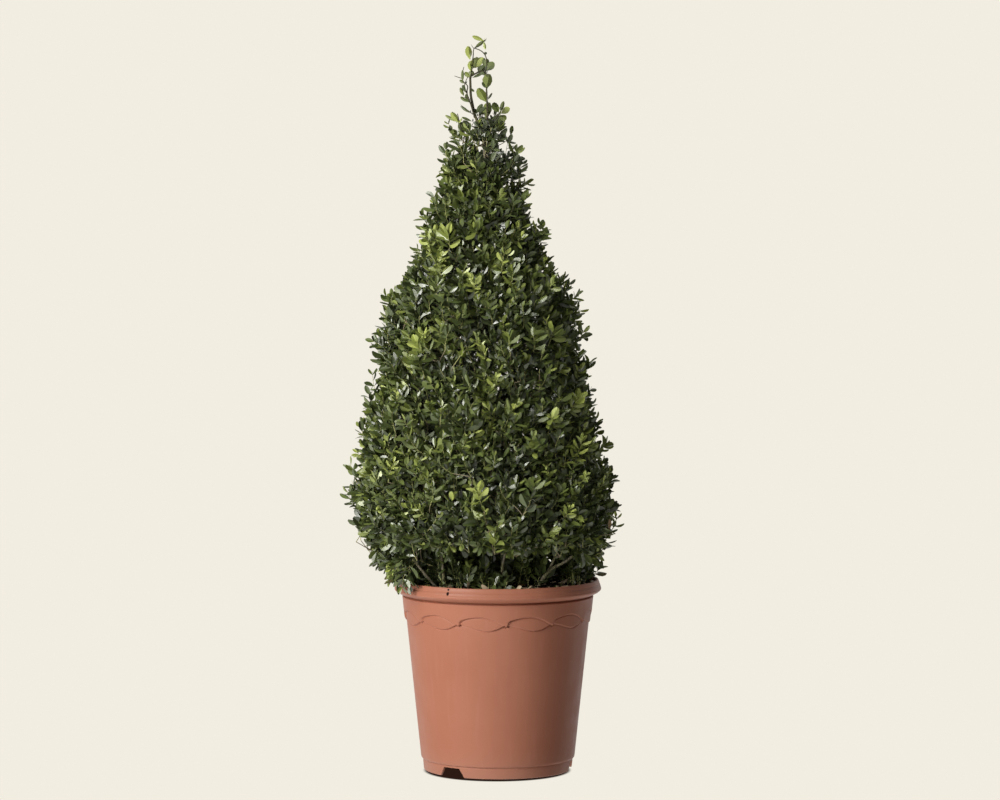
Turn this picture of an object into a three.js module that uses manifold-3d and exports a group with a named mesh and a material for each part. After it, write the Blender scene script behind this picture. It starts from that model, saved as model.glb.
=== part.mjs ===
// Boxwood cone topiary in its plastic nursery pot, at its real size.
// Millimetres, +Z up, front towards -Y. The origin is on the ground, below the middle of the
// plant's width. The pot stands a little to the right of that, because the cone grew to one side.
// The pot is a thin shell on a foot ring, filled with soil. A leading stem runs up through the
// whole cone, and smaller limbs rise from the soil round it and end where they enter the leaves.

import * as THREE from 'three';
import { mergeVertices } from 'three/addons/utils/BufferGeometryUtils.js';
import Module from 'manifold-3d';

const wasm = await Module();
wasm.setup();

const TURN = 2 * Math.PI;
const FRONT = -Math.PI / 2; // the azimuth of -Y, counted from +X
const GAP = 0.3; // air kept between pieces that touch
const LIMB_GAP = 1.1 * GAP; // a little more round faceted limbs

// ---- Driving dimensions ----

// Pot
const POT_X = 27; // from the crown's middle to the pot's axis
const POT_HEIGHT = 304;
const POT_SIDES = 60;
const WALL = 2.5; // thickness
const WALL_FOOT_RADIUS = 120.6; // the wall's outside, carried on down to the ground
const WALL_SLOPE = 0.1045; // outwards for each mm of height
const FOOT_RADIUS = 118.4; // the foot ring, on the ground
const FOOT_TOP_RADIUS = 119.8; // the foot ring, under the wall
const FOOT_WIDTH = 4;
const FOOT_HEIGHT = 15;
const FOOT_BEVEL = 5;
const BASE_UNDERSIDE = 17; // the base plate hangs clear of the ground
const BAND_BOTTOM = 240; // the thicker band below the rim
const BAND_PROUD = 3.2;
const RIM_RADIUS = 165; // its widest, at the bottom of its leaning face
const RIM_TOP_RADIUS = 160;
const RIM_FACE = 16;
const RIM_UNDERCUT = 9; // height of the bevel below the face
const RIM_ROUND = 1.5; // rounding between the face and the bevel
const RIM_LIP = 3; // thickness of the edge on top
const RIM_DRAFT = 1; // the inside of the rim narrows by this down to the soil
const NOTCHES = 3; // drainage notches in the foot ring
const NOTCH_AZIMUTH = FRONT - THREE.MathUtils.degToRad(37.9);
const NOTCH_TOP_WIDTH = 30;
const NOTCH_BOTTOM_WIDTH = 49;
const NOTCH_HEIGHT = 14.5;
const DRAIN_HOLES = 6;
const DRAIN_RADIUS = 7;
const DRAIN_CIRCLE = 84;

// Soil
const SOIL_TOP = 296;
const SOIL_RADIUS = RIM_TOP_RADIUS - RIM_LIP - RIM_DRAFT - 3 * GAP; // at its edge
const SOIL_FLAT_RADIUS = 128; // level this far out, then it falls to the wall
const SOIL_EDGE_DROP = 3;

// Leading stem: a flared foot, a lean to the left and a kink below its tip
const TRUNK_ROUTE = [
  [24, 8, SOIL_TOP + GAP],
  [20, 6, 380],
  [9, 1, 560],
  [3, -2, 780],
  [5, 1, 940],
  [5, 1, 1008],
  [-12, 0, 1047],
  [-16, 0, 1074],
  [-17, 0, 1104],
];
const TRUNK_RADIUS = 9.5; // above the flare
const TRUNK_TIP_RADIUS = 1.7;
const FLARE_RADIUS = 15;
const FLARE_HEIGHT = 40;

// Crown
const CROWN_AXIS_SWING = 8; // the crown's axis swings this far towards the pot at the skirt
const CROWN_SWING_FROM = 310;
const CROWN_SWING_TO = 520;
const CROWN_AROUND = 42;
const CROWN_ROWS = 39;
const CROWN_PROFILE = [ // [radius, height], down the outside and in under the skirt
  [0, 1060], [30, 1058], [43, 1038], [53, 996], [68, 938], [86, 892], [105, 842],
  [113, 812], [138, 780], [154, 742], [160, 700], [170, 634], [186, 566], [203, 498],
  [211, 425], [203, 362], [186, 322], [168, 308], [146, 314], [100, 332], [50, 338], [0, 338],
];
const SKIRT_HEIGHT = 90; // the hollows under the skirt die out over this height
const SKIRT_LOWEST = 306;
const SPRAY_REACH = 7; // how far a spray stands out of the clipped face, or back from it
const SPRAY_FULL_RADIUS = 60; // sprays are shorter where the crown is narrower than this

const material = (color, roughness) =>
  new THREE.MeshStandardMaterial({ color, roughness, metalness: 0 });
const POT_MATERIAL = material(0xb9795a, 0.55);
const SOIL_MATERIAL = material(0x2c221c, 0.95);
const BARK_MATERIAL = material(0x8c8468, 0.85);
const LEAF_MATERIAL = material(0x3f5c22, 0.5);

// ---- Helpers ----

// A repeatable number from 0 to 1 for a pair of whole numbers.
function scatter(i, j) {
  const n = Math.sin(i * 127.1 + j * 311.7 + 17.3) * 43758.5453;
  return n - Math.floor(n);
}

// Shared vertices are merged, and triangles that collapse on an axis are dropped.
function weld(geometry) {
  const bare = geometry.clone();
  bare.deleteAttribute('normal');
  bare.deleteAttribute('uv');
  const merged = mergeVertices(bare, 1e-4);
  const index = merged.getIndex().array;
  const kept = [];
  for (let i = 0; i < index.length; i += 3) {
    const [a, b, c] = [index[i], index[i + 1], index[i + 2]];
    if (a !== b && b !== c && c !== a) kept.push(a, b, c);
  }
  merged.setIndex(kept);
  return merged;
}

function toSolid(geometry) {
  const welded = weld(geometry);
  const mesh = new wasm.Mesh({
    numProp: 3,
    vertProperties: new Float32Array(welded.getAttribute('position').array),
    triVerts: new Uint32Array(welded.getIndex().array),
  });
  return new wasm.Manifold(mesh);
}

function toGeometry(solid) {
  const mesh = solid.getMesh();
  const geometry = new THREE.BufferGeometry();
  geometry.setAttribute('position', new THREE.BufferAttribute(mesh.vertProperties, 3));
  geometry.setIndex(new THREE.BufferAttribute(mesh.triVerts, 1));
  return geometry;
}

// A closed skin over rings of points, each ring counter-clockwise seen from the last ring,
// with a fan to a centre at each end.
function skin(rings, startCentre, endCentre) {
  const around = rings[0].length;
  const points = rings.flat().concat([startCentre, endCentre]);
  const start = points.length - 2;
  const end = points.length - 1;
  const last = (rings.length - 1) * around;
  const index = [];
  for (let k = 0; k < around; k += 1) {
    const next = (k + 1) % around;
    index.push(start, next, k);
    index.push(end, last + k, last + next);
    for (let j = 0; j < rings.length - 1; j += 1) {
      const low = j * around;
      const high = low + around;
      index.push(low + k, low + next, high + next);
      index.push(low + k, high + next, high + k);
    }
  }
  const geometry = new THREE.BufferGeometry().setFromPoints(points);
  geometry.setIndex(index);
  return geometry;
}

// A tapering limb along a smooth route. Its foot is cut level, and its rings turn to face along
// the route from there on.
function limb(route, radiusAt, { sides = 8, steps = 8, grow = 0, extend = 0 } = {}) {
  const points = route.map((p) => new THREE.Vector3(...p));
  const last = points[points.length - 1];
  points[0].z -= extend;
  last.addScaledVector(last.clone().sub(points[points.length - 2]).normalize(), extend);
  const curve = new THREE.CatmullRomCurve3(points, false, 'centripetal');
  const rings = [];
  for (let j = 0; j <= steps; j += 1) {
    const t = j / steps;
    const centre = curve.getPointAt(t);
    const along = j === 0 ? new THREE.Vector3(0, 0, 1) : curve.getTangentAt(t);
    const across = new THREE.Vector3(1, 0, 0).projectOnPlane(along).normalize();
    const aside = new THREE.Vector3().crossVectors(along, across);
    const radius = radiusAt(t, centre.z) + grow;
    const ring = [];
    for (let k = 0; k < sides; k += 1) {
      const angle = (TURN * k) / sides;
      ring.push(centre.clone()
        .addScaledVector(across, radius * Math.cos(angle))
        .addScaledVector(aside, radius * Math.sin(angle)));
    }
    rings.push(ring);
  }
  return skin(rings, curve.getPoint(0), curve.getPoint(1));
}

// ---- Pot and soil ----

const wallOutside = (z) => WALL_FOOT_RADIUS + WALL_SLOPE * z;
const wallInside = (z) => wallOutside(z) - WALL;

function lathe(profile, sides) {
  const outline = profile.map(([r, z]) => new THREE.Vector2(r, z));
  const geometry = new THREE.LatheGeometry(outline, sides);
  geometry.rotateX(Math.PI / 2);
  return geometry;
}

function potShell() {
  const floor = BASE_UNDERSIDE + WALL;
  const faceBottom = POT_HEIGHT - RIM_FACE;
  const bandTop = faceBottom - RIM_UNDERCUT;
  const soilEdge = SOIL_TOP - SOIL_EDGE_DROP;
  return lathe([
    [0, BASE_UNDERSIDE],
    [FOOT_TOP_RADIUS - FOOT_WIDTH, BASE_UNDERSIDE],
    [FOOT_RADIUS - FOOT_WIDTH, 0],
    [FOOT_RADIUS, 0],
    [FOOT_TOP_RADIUS, FOOT_HEIGHT],
    [wallOutside(FOOT_HEIGHT + FOOT_BEVEL), FOOT_HEIGHT + FOOT_BEVEL],
    [wallOutside(BAND_BOTTOM - BAND_PROUD), BAND_BOTTOM - BAND_PROUD],
    [wallOutside(BAND_BOTTOM) + BAND_PROUD, BAND_BOTTOM],
    [wallOutside(bandTop) + BAND_PROUD, bandTop],
    [RIM_RADIUS - RIM_ROUND, faceBottom - RIM_ROUND],
    [RIM_RADIUS, faceBottom],
    [RIM_TOP_RADIUS, POT_HEIGHT],
    [RIM_TOP_RADIUS - RIM_LIP, POT_HEIGHT],
    [SOIL_RADIUS + 3 * GAP, soilEdge],
    [wallInside(bandTop) + BAND_PROUD, bandTop],
    [wallInside(BAND_BOTTOM), BAND_BOTTOM],
    [wallInside(floor), floor],
    [0, floor],
  ], POT_SIDES);
}

function notch(azimuth) {
  const outline = new THREE.Shape([
    new THREE.Vector2(-NOTCH_BOTTOM_WIDTH / 2, -1),
    new THREE.Vector2(NOTCH_BOTTOM_WIDTH / 2, -1),
    new THREE.Vector2(NOTCH_TOP_WIDTH / 2, NOTCH_HEIGHT),
    new THREE.Vector2(-NOTCH_TOP_WIDTH / 2, NOTCH_HEIGHT),
  ]);
  const depth = 6 * FOOT_WIDTH;
  const geometry = new THREE.ExtrudeGeometry(outline, { depth, bevelEnabled: false });
  geometry.rotateX(Math.PI / 2);
  geometry.rotateZ(Math.PI / 2);
  geometry.translate(FOOT_RADIUS - depth / 2, 0, 0);
  geometry.rotateZ(azimuth);
  return geometry;
}

function drainHole(azimuth) {
  const geometry = new THREE.CylinderGeometry(DRAIN_RADIUS, DRAIN_RADIUS, 4 * WALL, 12);
  geometry.rotateX(Math.PI / 2);
  geometry.translate(DRAIN_CIRCLE, 0, BASE_UNDERSIDE + WALL / 2);
  geometry.rotateZ(azimuth);
  return geometry;
}

function potGeometry() {
  let solid = toSolid(potShell());
  for (let k = 0; k < NOTCHES; k += 1) {
    solid = solid.subtract(toSolid(notch(NOTCH_AZIMUTH + (TURN * k) / NOTCHES)));
  }
  for (let k = 0; k < DRAIN_HOLES; k += 1) {
    solid = solid.subtract(toSolid(drainHole(NOTCH_AZIMUTH + (TURN * k) / DRAIN_HOLES)));
  }
  return toGeometry(solid);
}

function soilGeometry() {
  const floor = BASE_UNDERSIDE + WALL + GAP;
  const bandTop = POT_HEIGHT - RIM_FACE - RIM_UNDERCUT;
  const edge = SOIL_TOP - SOIL_EDGE_DROP;
  return lathe([
    [0, floor],
    [wallInside(floor) - 2 * GAP, floor],
    [wallInside(BAND_BOTTOM) - 2 * GAP, BAND_BOTTOM],
    [wallInside(bandTop) + BAND_PROUD - 2 * GAP, bandTop],
    [SOIL_RADIUS, edge],
    [SOIL_FLAT_RADIUS, SOIL_TOP],
    [0, SOIL_TOP],
  ], POT_SIDES);
}

// ---- Stem and limbs ----

function trunkRadius(t, z) {
  const taper = THREE.MathUtils.lerp(TRUNK_RADIUS, TRUNK_TIP_RADIUS, t ** 0.9);
  const flare = THREE.MathUtils.clamp(1 - (z - SOIL_TOP) / FLARE_HEIGHT, 0, 1);
  return taper + (FLARE_RADIUS - TRUNK_RADIUS) * flare ** 2;
}

const TRUNK_SHAPE = { sides: 10, steps: 25 };

// Each limb: where it leaves the soil, where it bends, where it enters the leaves, and its
// radius at both ends.
const BOUGHS = {
  bough_left_outer: {
    route: [[-68, -80], [-89, -90, 322], [-107, -98, 347], [-120, -102, 374]], radii: [2.4, 1.6],
  },
  bough_left_inner: {
    route: [[-57, -82], [-59, -86, 324], [-64, -90, 366], [-68, -92, 392]], radii: [2.7, 1.7],
  },
  bough_front: {
    route: [[36, -72], [34, -76, 330], [44, -80, 372], [52, -84, 402]], radii: [2.5, 1.8],
  },
  bough_right: {
    route: [[91, -46], [107, -52, 321], [141, -58, 342], [156, -62, 364]], radii: [3.3, 2.0],
  },
  bough_right_fork: {
    route: [[107, -52, 322], [118, -54, 346], [121, -56, 372], [124, -58, 390]], radii: [2.0, 1.4],
  },
  bough_back_right: { route: [[70, 62], [82, 76, 318], [104, 100, 352]], radii: [3.2, 2.0] },
  bough_back: { route: [[10, 74], [4, 90, 318], [-6, 118, 350]], radii: [3.0, 1.9] },
  bough_back_left: { route: [[-46, 46], [-62, 58, 320], [-92, 78, 352]], radii: [3.3, 2.0] },
  bough_second_leader: { route: [[5, 1, 1010], [10, -2, 1036], [9, 0, 1084]], radii: [1.9, 1.3] },
};

function boughLimb({ route, radii }, options) {
  const [x, y, z = SOIL_TOP + GAP] = route[0];
  const radiusAt = (t) => THREE.MathUtils.lerp(radii[0], radii[1], t);
  return limb([[x, y, z], ...route.slice(1)], radiusAt, options);
}

// ---- Masses of leaves ----

function smoothstep(low, high, x) {
  return THREE.MathUtils.smoothstep(x, low, high);
}

// The shortest way round from one azimuth to another.
function turnBetween(a, b) {
  return Math.atan2(Math.sin(a - b), Math.cos(a - b));
}

// Tufts that stand out of the clipped face: [degrees right of the front, height, reach, spread].
// A reach below zero is a dent.
const TUFTS = [
  [-90, 428, 9, 16], [-88, 462, -12, 16], [88, 484, 3, 22], [-88, 545, -5, 26], [86, 636, 20, 18],
  [-92, 708, 14, 20], [90, 776, 6, 20], [-86, 832, 11, 24], [84, 872, 8, 22], [-90, 898, 13, 24],
  [-90, 975, 10, 18], [88, 986, 18, 20], [88, 946, 7, 16], [86, 1048, 12, 18], [88, 738, -8, 14],
  [-86, 345, -15, 32], [88, 690, -10, 16], [88, 325, -10, 26], [88, 390, -6, 30], [-88, 662, -12, 16],
  [0, 430, 7, 36], [180, 436, 9, 34], [150, 620, 8, 30], [-150, 760, 7, 26], [30, 700, 6, 26],
  [-40, 560, 6, 28], [170, 880, 6, 22], [10, 900, 5, 20],
];

function tuftReach(azimuth, height, radius) {
  let reach = 0;
  for (const [degrees, at, out, spread] of TUFTS) {
    const across = radius * turnBetween(azimuth, FRONT + THREE.MathUtils.degToRad(degrees));
    const apart = Math.hypot(across, height - at) / spread;
    reach += out * Math.exp(-2 * apart * apart);
  }
  return reach;
}

// Hollows under the skirt, where the limbs show: [degrees right of the front, rise, spread].
const HOLLOWS = [
  [-42, 34, 18], [-9, 42, 16], [20, 38, 14], [52, 40, 20], [128, 16, 18], [-140, 20, 22],
];

function skirtLift(azimuth) {
  let rise = 0;
  for (const [degrees, up, spread] of HOLLOWS) {
    const off = turnBetween(azimuth, FRONT + THREE.MathUtils.degToRad(degrees));
    rise = Math.max(rise, up * Math.exp(-((THREE.MathUtils.radToDeg(off) / spread) ** 2)));
  }
  return rise;
}

function crownAxis(z) {
  return CROWN_AXIS_SWING * (1 - smoothstep(CROWN_SWING_FROM, CROWN_SWING_TO, z));
}

function crownGeometry() {
  const outline = CROWN_PROFILE.map(([r, z]) => new THREE.Vector2(r, z));
  const profile = new THREE.SplineCurve(outline);
  const rings = [];
  for (let j = CROWN_ROWS - 1; j >= 1; j -= 1) {
    const at = profile.getPointAt(j / CROWN_ROWS);
    const lean = profile.getTangentAt(j / CROWN_ROWS);
    const outward = new THREE.Vector2(-lean.y, lean.x); // away from the leaves
    const ring = [];
    for (let k = 0; k < CROWN_AROUND; k += 1) {
      const azimuth = (TURN * (k + 0.5 * (j % 2))) / CROWN_AROUND;
      const spray = SPRAY_REACH * (2 * scatter(j, k) - 1.3);
      const room = Math.min(1, at.x / SPRAY_FULL_RADIUS);
      const out = (spray + tuftReach(azimuth, at.y, at.x)) * room;
      const radius = at.x + outward.x * out;
      const raised = skirtLift(azimuth) * (1 - smoothstep(0, SKIRT_HEIGHT, at.y - SKIRT_LOWEST));
      const height = Math.max(at.y + outward.y * out + raised, SKIRT_LOWEST);
      const x = crownAxis(at.y) + radius * Math.cos(azimuth);
      ring.push(new THREE.Vector3(x, radius * Math.sin(azimuth), height));
    }
    rings.push(ring);
  }
  const [bottom, top] = [profile.getPoint(1), profile.getPoint(0)];
  return skin(rings, new THREE.Vector3(0, 0, bottom.y), new THREE.Vector3(0, 0, top.y));
}

// A loose tuft round a leading shoot: a spindle of leaves along a short route, rounded at both
// ends and uneven on the way.
function tuftGeometry(route, radius, seed) {
  const swell = (t) => radius * Math.sin(Math.PI * (0.08 + 0.86 * t)) ** 0.7;
  const uneven = (t) => 0.85 + 0.3 * scatter(seed, Math.round(20 * t));
  return limb(route, (t) => swell(t) * uneven(t), { sides: 9, steps: 9 });
}

// ---- The plant ----

const plant = new THREE.Group();

function add(name, geometry, finish, x = 0) {
  const mesh = new THREE.Mesh(geometry, finish.clone());
  mesh.name = name;
  mesh.position.x = x;
  plant.add(mesh);
}

add('pot', potGeometry(), POT_MATERIAL, POT_X);
add('soil', weld(soilGeometry()), SOIL_MATERIAL, POT_X);
add('trunk', limb(TRUNK_ROUTE, trunkRadius, TRUNK_SHAPE), BARK_MATERIAL);

const ROOM = { grow: LIMB_GAP, extend: GAP };
const trunkRoom = toSolid(limb(TRUNK_ROUTE, trunkRadius, { ...TRUNK_SHAPE, ...ROOM }));
const boughRoom = Object.fromEntries(
  Object.entries(BOUGHS).map(([name, bough]) => [name, toSolid(boughLimb(bough, ROOM))]),
);

for (const [name, bough] of Object.entries(BOUGHS)) {
  let solid = toSolid(boughLimb(bough)).subtract(trunkRoom);
  if (name === 'bough_right_fork') solid = solid.subtract(boughRoom.bough_right);
  add(name, toGeometry(solid), BARK_MATERIAL);
}

const limbRoom = Object.values(boughRoom).reduce((all, one) => all.add(one), trunkRoom);
const masses = {
  crown: toSolid(crownGeometry()),
  tuft_leader: toSolid(tuftGeometry([[-17, 0, 1068], [-20, 0, 1104], [-15, 0, 1150]], 11, 3)),
  tuft_second_leader: toSolid(tuftGeometry([[9, 0, 1068], [11, 0, 1110], [-2, 0, 1167]], 12, 5)),
};
for (const [name, mass] of Object.entries(masses)) {
  add(name, toGeometry(mass.subtract(limbRoom)), LEAF_MATERIAL);
}

export default plant;
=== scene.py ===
"""A boxwood cone topiary in its plastic nursery pot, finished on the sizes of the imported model.

Metres, +Z up, front towards -Y. The pot, the soil, the trunk and the boughs are meshed again with
their real surfaces. The crown is grown: stems carry on from the boughs, a seeded rule branches
them out to the shoots, and each shoot carries crosswise pairs of leaves up to the crown's outline.
"""

import math
from dataclasses import dataclass

import bpy
import numpy as np
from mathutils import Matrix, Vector
from mathutils.bvhtree import BVHTree


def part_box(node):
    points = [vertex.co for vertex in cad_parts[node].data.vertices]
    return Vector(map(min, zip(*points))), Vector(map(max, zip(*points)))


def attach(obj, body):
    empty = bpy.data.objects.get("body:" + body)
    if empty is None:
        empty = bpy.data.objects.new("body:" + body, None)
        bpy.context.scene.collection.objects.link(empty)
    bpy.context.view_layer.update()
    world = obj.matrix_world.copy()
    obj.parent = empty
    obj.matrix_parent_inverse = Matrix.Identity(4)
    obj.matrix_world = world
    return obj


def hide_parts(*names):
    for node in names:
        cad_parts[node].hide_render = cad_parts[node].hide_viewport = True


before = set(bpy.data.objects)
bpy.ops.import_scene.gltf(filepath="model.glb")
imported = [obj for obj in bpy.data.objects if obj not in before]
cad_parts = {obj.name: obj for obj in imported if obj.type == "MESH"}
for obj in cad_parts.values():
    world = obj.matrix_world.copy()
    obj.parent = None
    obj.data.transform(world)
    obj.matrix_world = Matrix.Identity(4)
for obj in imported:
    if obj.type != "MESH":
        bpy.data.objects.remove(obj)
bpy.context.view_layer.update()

MM = 0.001
TURN = 2 * math.pi
FRONT = -math.pi / 2  # the azimuth of -Y, counted from +X
UP = np.array([0.0, 0.0, 1.0])
SEED = 22

# ---- Driving dimensions, from the frame ----

POT_LOW, POT_HIGH = (np.array(corner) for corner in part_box("pot"))
POT_AXIS = np.array([(POT_LOW[0] + POT_HIGH[0]) / 2, (POT_LOW[1] + POT_HIGH[1]) / 2, 0.0])
RIM_TOP = POT_HIGH[2]
RIM_RADIUS = (POT_HIGH[0] - POT_LOW[0]) / 2
SOIL_HIGH = np.array(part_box("soil")[1])
SOIL_TOP = SOIL_HIGH[2]
CROWN_LOW, CROWN_HIGH = (np.array(corner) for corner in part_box("crown"))

# Pot
POT_COLUMNS = 840  # around the wall
WALL = 2.5 * MM
WALL_FOOT_RADIUS = 120.6 * MM  # the wall's outside, carried on down to the ground
WALL_SLOPE = 0.1045
FOOT_RADIUS = 118.4 * MM
FOOT_WIDTH = 4 * MM
BASE_UNDERSIDE = 17 * MM
NOTCHES = 3
NOTCH_AZIMUTH = FRONT - math.radians(37.9)
NOTCH_TOP_WIDTH = 30 * MM
NOTCH_BOTTOM_WIDTH = 49 * MM
NOTCH_HEIGHT = 14.5 * MM
DRAIN_HOLES = 6
DRAIN_RADIUS = 7 * MM
DRAIN_CIRCLE = 84 * MM
BAND_TOP = RIM_TOP - 27 * MM
BAND_PROUD = 3.0 * MM

# The wave relief at the foot of the band: lens panels end to end round the pot
WAVE_LINE = 245 * MM  # height of the line through the lens's two ends
WAVE_UNITS = 12
WAVE_START = FRONT + math.radians(6.3)  # azimuth of a lens's left end
WAVE_TIP = 0.93  # a lens's right end, as a share of its unit
WAVE_RISE = 12.9 * MM
WAVE_PEAK = 0.43
WAVE_FALL = 8.8 * MM
WAVE_TROUGH = 0.57
WAVE_EDGE = 1.1 * MM  # width of the rounded step

# Small dark marks, one above the other, on the front of the rim: the distance from the pot's axis,
# the distance below the rim's top, and the radius, in millimetres
RIM_MARK_AZIMUTH = FRONT - math.radians(28.5)
RIM_MARKS = [(161.2, 3.0, 1.4), (162.8, 8.6, 1.9), (163.4, 10.2, 1.7)]

# Leaves
LEAF_LENGTH = 18.2 * MM
LEAF_WIDTH = 0.45  # of the length
SHOOT_SPACING = 14.2 * MM
PIECE_LEAVES = 9000  # at most, in one piece

# Crown
FACE_POINTS = 30000  # strewn over the crown's outside, for its face's shoots to be chosen from
STRAYS = 0.14  # the share of the face's shoots that stand proud of it
STRAY_FOOT = CROWN_LOW[2] + 90 * MM  # none of them lower than this
THINNER = 955 * MM, 1015 * MM  # between these heights the shoots come to stand further apart
BARER = 985 * MM  # shoots above this have lost more of their leaves
SHADE_TOP = 935 * MM  # the crown is open above this, with no leaves inside its face
LEADER_FOOT = 1042 * MM  # above this, on the axis, are only the leader's own stems and leaves
GUIDES = 1500  # points inside the crown for the branches to pass through
GUIDE_LOAD = 0.05  # what a guide point adds to the load of a branch, where a shoot adds one
WAY_BACK = 0.35  # what the way back to the root costs, where new wood costs one

# The skirt round the limbs' feet, in degrees round the pot from the front: leafy clumps that rise
# from the soil, and hollows as [middle, half width, height in millimetres]
SOIL_RADIUS = 150 * MM
CLUMPS = [-168, -132, -108, -82, -70, 84, 108, 131, 166]
HOLLOWS = [
    (-150, 9, 30), (-120, 8, 30), (-94, 8, 20), (-40, 15, 60), (-17, 12, 58), (3, 62, 44), (34, 10, 58),
    (74, 8, 30), (95, 9, 25), (120, 9, 32), (149, 9, 30),
]


# ---- Small tools ----

def unit(vectors):
    """The same vectors at length one."""
    length = np.linalg.norm(vectors, axis=-1, keepdims=True)
    return vectors / np.maximum(length, 1e-12)


def level(azimuth):
    """The level direction at each azimuth."""
    return np.stack([np.cos(azimuth), np.sin(azimuth), 0 * azimuth], -1)


def around(count):
    """The azimuths of a ring of points."""
    return np.arange(count) * TURN / count


def smoothstep(low, high, x):
    """A soft step from nought to one between low and high."""
    t = np.clip((x - low) / (high - low), 0, 1)
    return t * t * (3 - 2 * t)


def drift(points, wavelength, seed, stretch=(1, 1, 1)):
    """A smooth random field over points, about -1 to 1, made of plane waves."""
    waves = np.random.default_rng(seed)
    count = 14
    heading = unit(waves.normal(size=(count, 3))) * waves.uniform(0.6, 1.5, (count, 1))
    phase = waves.uniform(0, TURN, count)
    turns = (points / np.array(stretch)) @ heading.T * (TURN / wavelength) + phase
    return np.cos(turns).sum(-1) / math.sqrt(count)


def grid_faces(rows, columns, closed=False):
    """Quads over rows of points that wrap round; closed also joins the last row to the first."""
    r, c = np.meshgrid(np.arange(rows if closed else rows - 1), np.arange(columns), indexing="ij")
    above = (r + 1) % rows
    beside = (c + 1) % columns
    corners = [r * columns + c, r * columns + beside, above * columns + beside, above * columns + c]
    return np.stack(corners, -1).reshape(-1, 4)


def fan_faces(first, columns, centre, upward=True):
    """Triangles from a ring of points to its centre."""
    ring = first + np.arange(columns)
    beside = first + (np.arange(columns) + 1) % columns
    hub = np.full(columns, centre)
    return np.stack([ring, beside, hub] if upward else [beside, ring, hub], -1)


def mesh_object(name, points, *kinds, finish=None):
    """An object with a smooth mesh, made of one or more arrays of faces."""
    corners = np.concatenate([faces.ravel() for faces in kinds]).astype(np.int32)
    sizes = np.concatenate([np.full(len(faces), faces.shape[1]) for faces in kinds])
    starts = (np.cumsum(sizes) - sizes).astype(np.int32)
    mesh = bpy.data.meshes.new(name)
    mesh.vertices.add(len(points))
    mesh.vertices.foreach_set("co", np.asarray(points, np.float32).ravel())
    mesh.loops.add(len(corners))
    mesh.loops.foreach_set("vertex_index", corners)
    mesh.polygons.add(len(starts))
    mesh.polygons.foreach_set("loop_start", starts)
    mesh.polygons.foreach_set("use_smooth", np.ones(len(starts), bool))
    mesh.update(calc_edges=True)
    mesh.validate()
    if finish is not None:
        mesh.materials.append(finish)
    made = bpy.data.objects.new(name, mesh)
    bpy.context.scene.collection.objects.link(made)
    return made


def lathe(radius, height, columns):
    """Rings of points round the pot's axis, for a column of radii and a column of heights."""
    azimuth = around(columns)
    return np.stack([
        POT_AXIS[0] + radius * np.cos(azimuth),
        POT_AXIS[1] + radius * np.sin(azimuth),
        height * np.ones(columns),
    ], -1)


def capped(rings):
    """Points, quads and triangles of rings of points, with a fan over the first and the last."""
    rows, columns = rings.shape[:2]
    count = rows * columns
    hubs = [[*POT_AXIS[:2], ring[:, 2].mean()] for ring in rings[[0, -1]]]
    fans = [fan_faces(0, columns, count, upward=False), fan_faces(count - columns, columns, count + 1)]
    return np.concatenate([rings.reshape(-1, 3), hubs]), grid_faces(rows, columns), np.concatenate(fans)


def join(parts):
    """One set of points, quads and triangles out of several."""
    points, quads, triangles = zip(*parts)
    starts = np.cumsum([0] + [len(some) for some in points])
    shifted = [np.concatenate([face + start for face, start in zip(faces, starts)])
               for faces in (quads, triangles)]
    return np.concatenate(points), *shifted


def copies(points, faces):
    """Flat arrays of points and faces, for copies of one shape with a row of points for each."""
    starts = np.arange(len(points)) * points.shape[1]
    return points.reshape(-1, 3), (faces + starts[:, None, None]).reshape(-1, faces.shape[-1])


def on_plant(piece, slot, *nodes):
    """piece moves with the plant's one body, and stands for these CAD nodes."""
    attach(piece, "root")
    if nodes:
        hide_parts(*nodes)


# ---- Materials ----

class Nodes:
    """The node tree of a material or a world, put together a node at a time."""

    def __init__(self, owner):
        owner.use_nodes = True
        self.tree = owner.node_tree

    def feed(self, socket, value):
        """A number, a colour or another node's output for a socket."""
        if isinstance(value, bpy.types.NodeSocket):
            self.tree.links.new(value, socket)
        else:
            socket.default_value = (*value, 1) if socket.type == "RGBA" else value

    def add(self, kind, inputs=None, **settings):
        """A new node, with its settings and what its inputs are fed."""
        node = self.tree.nodes.new("ShaderNode" + kind)
        for name, setting in settings.items():
            setattr(node, name, setting)
        for name, value in (inputs or {}).items():
            self.feed(node.inputs[name], value)
        return node

    def ranged(self, value, low, high, to_low, to_high, interpolation="LINEAR"):
        """The value, brought from one range to another."""
        inputs = {"Value": value, "From Min": low, "From Max": high, "To Min": to_low, "To Max": to_high}
        return self.add("MapRange", inputs, interpolation_type=interpolation).outputs["Result"]

    def worked_out(self, operation, *values):
        """A sum, a product or another operation on values."""
        return self.add("Math", dict(enumerate(values)), operation=operation).outputs["Value"]

    def apart(self, place, spot):
        """The distance between a place and a fixed spot."""
        return self.add("VectorMath", {0: place, 1: spot}, operation="DISTANCE").outputs["Value"]

    def mixed_shader(self, factor, first, second):
        """Between two shaders."""
        return self.add("MixShader", {"Fac": factor, 1: first, 2: second}).outputs["Shader"]


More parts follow.
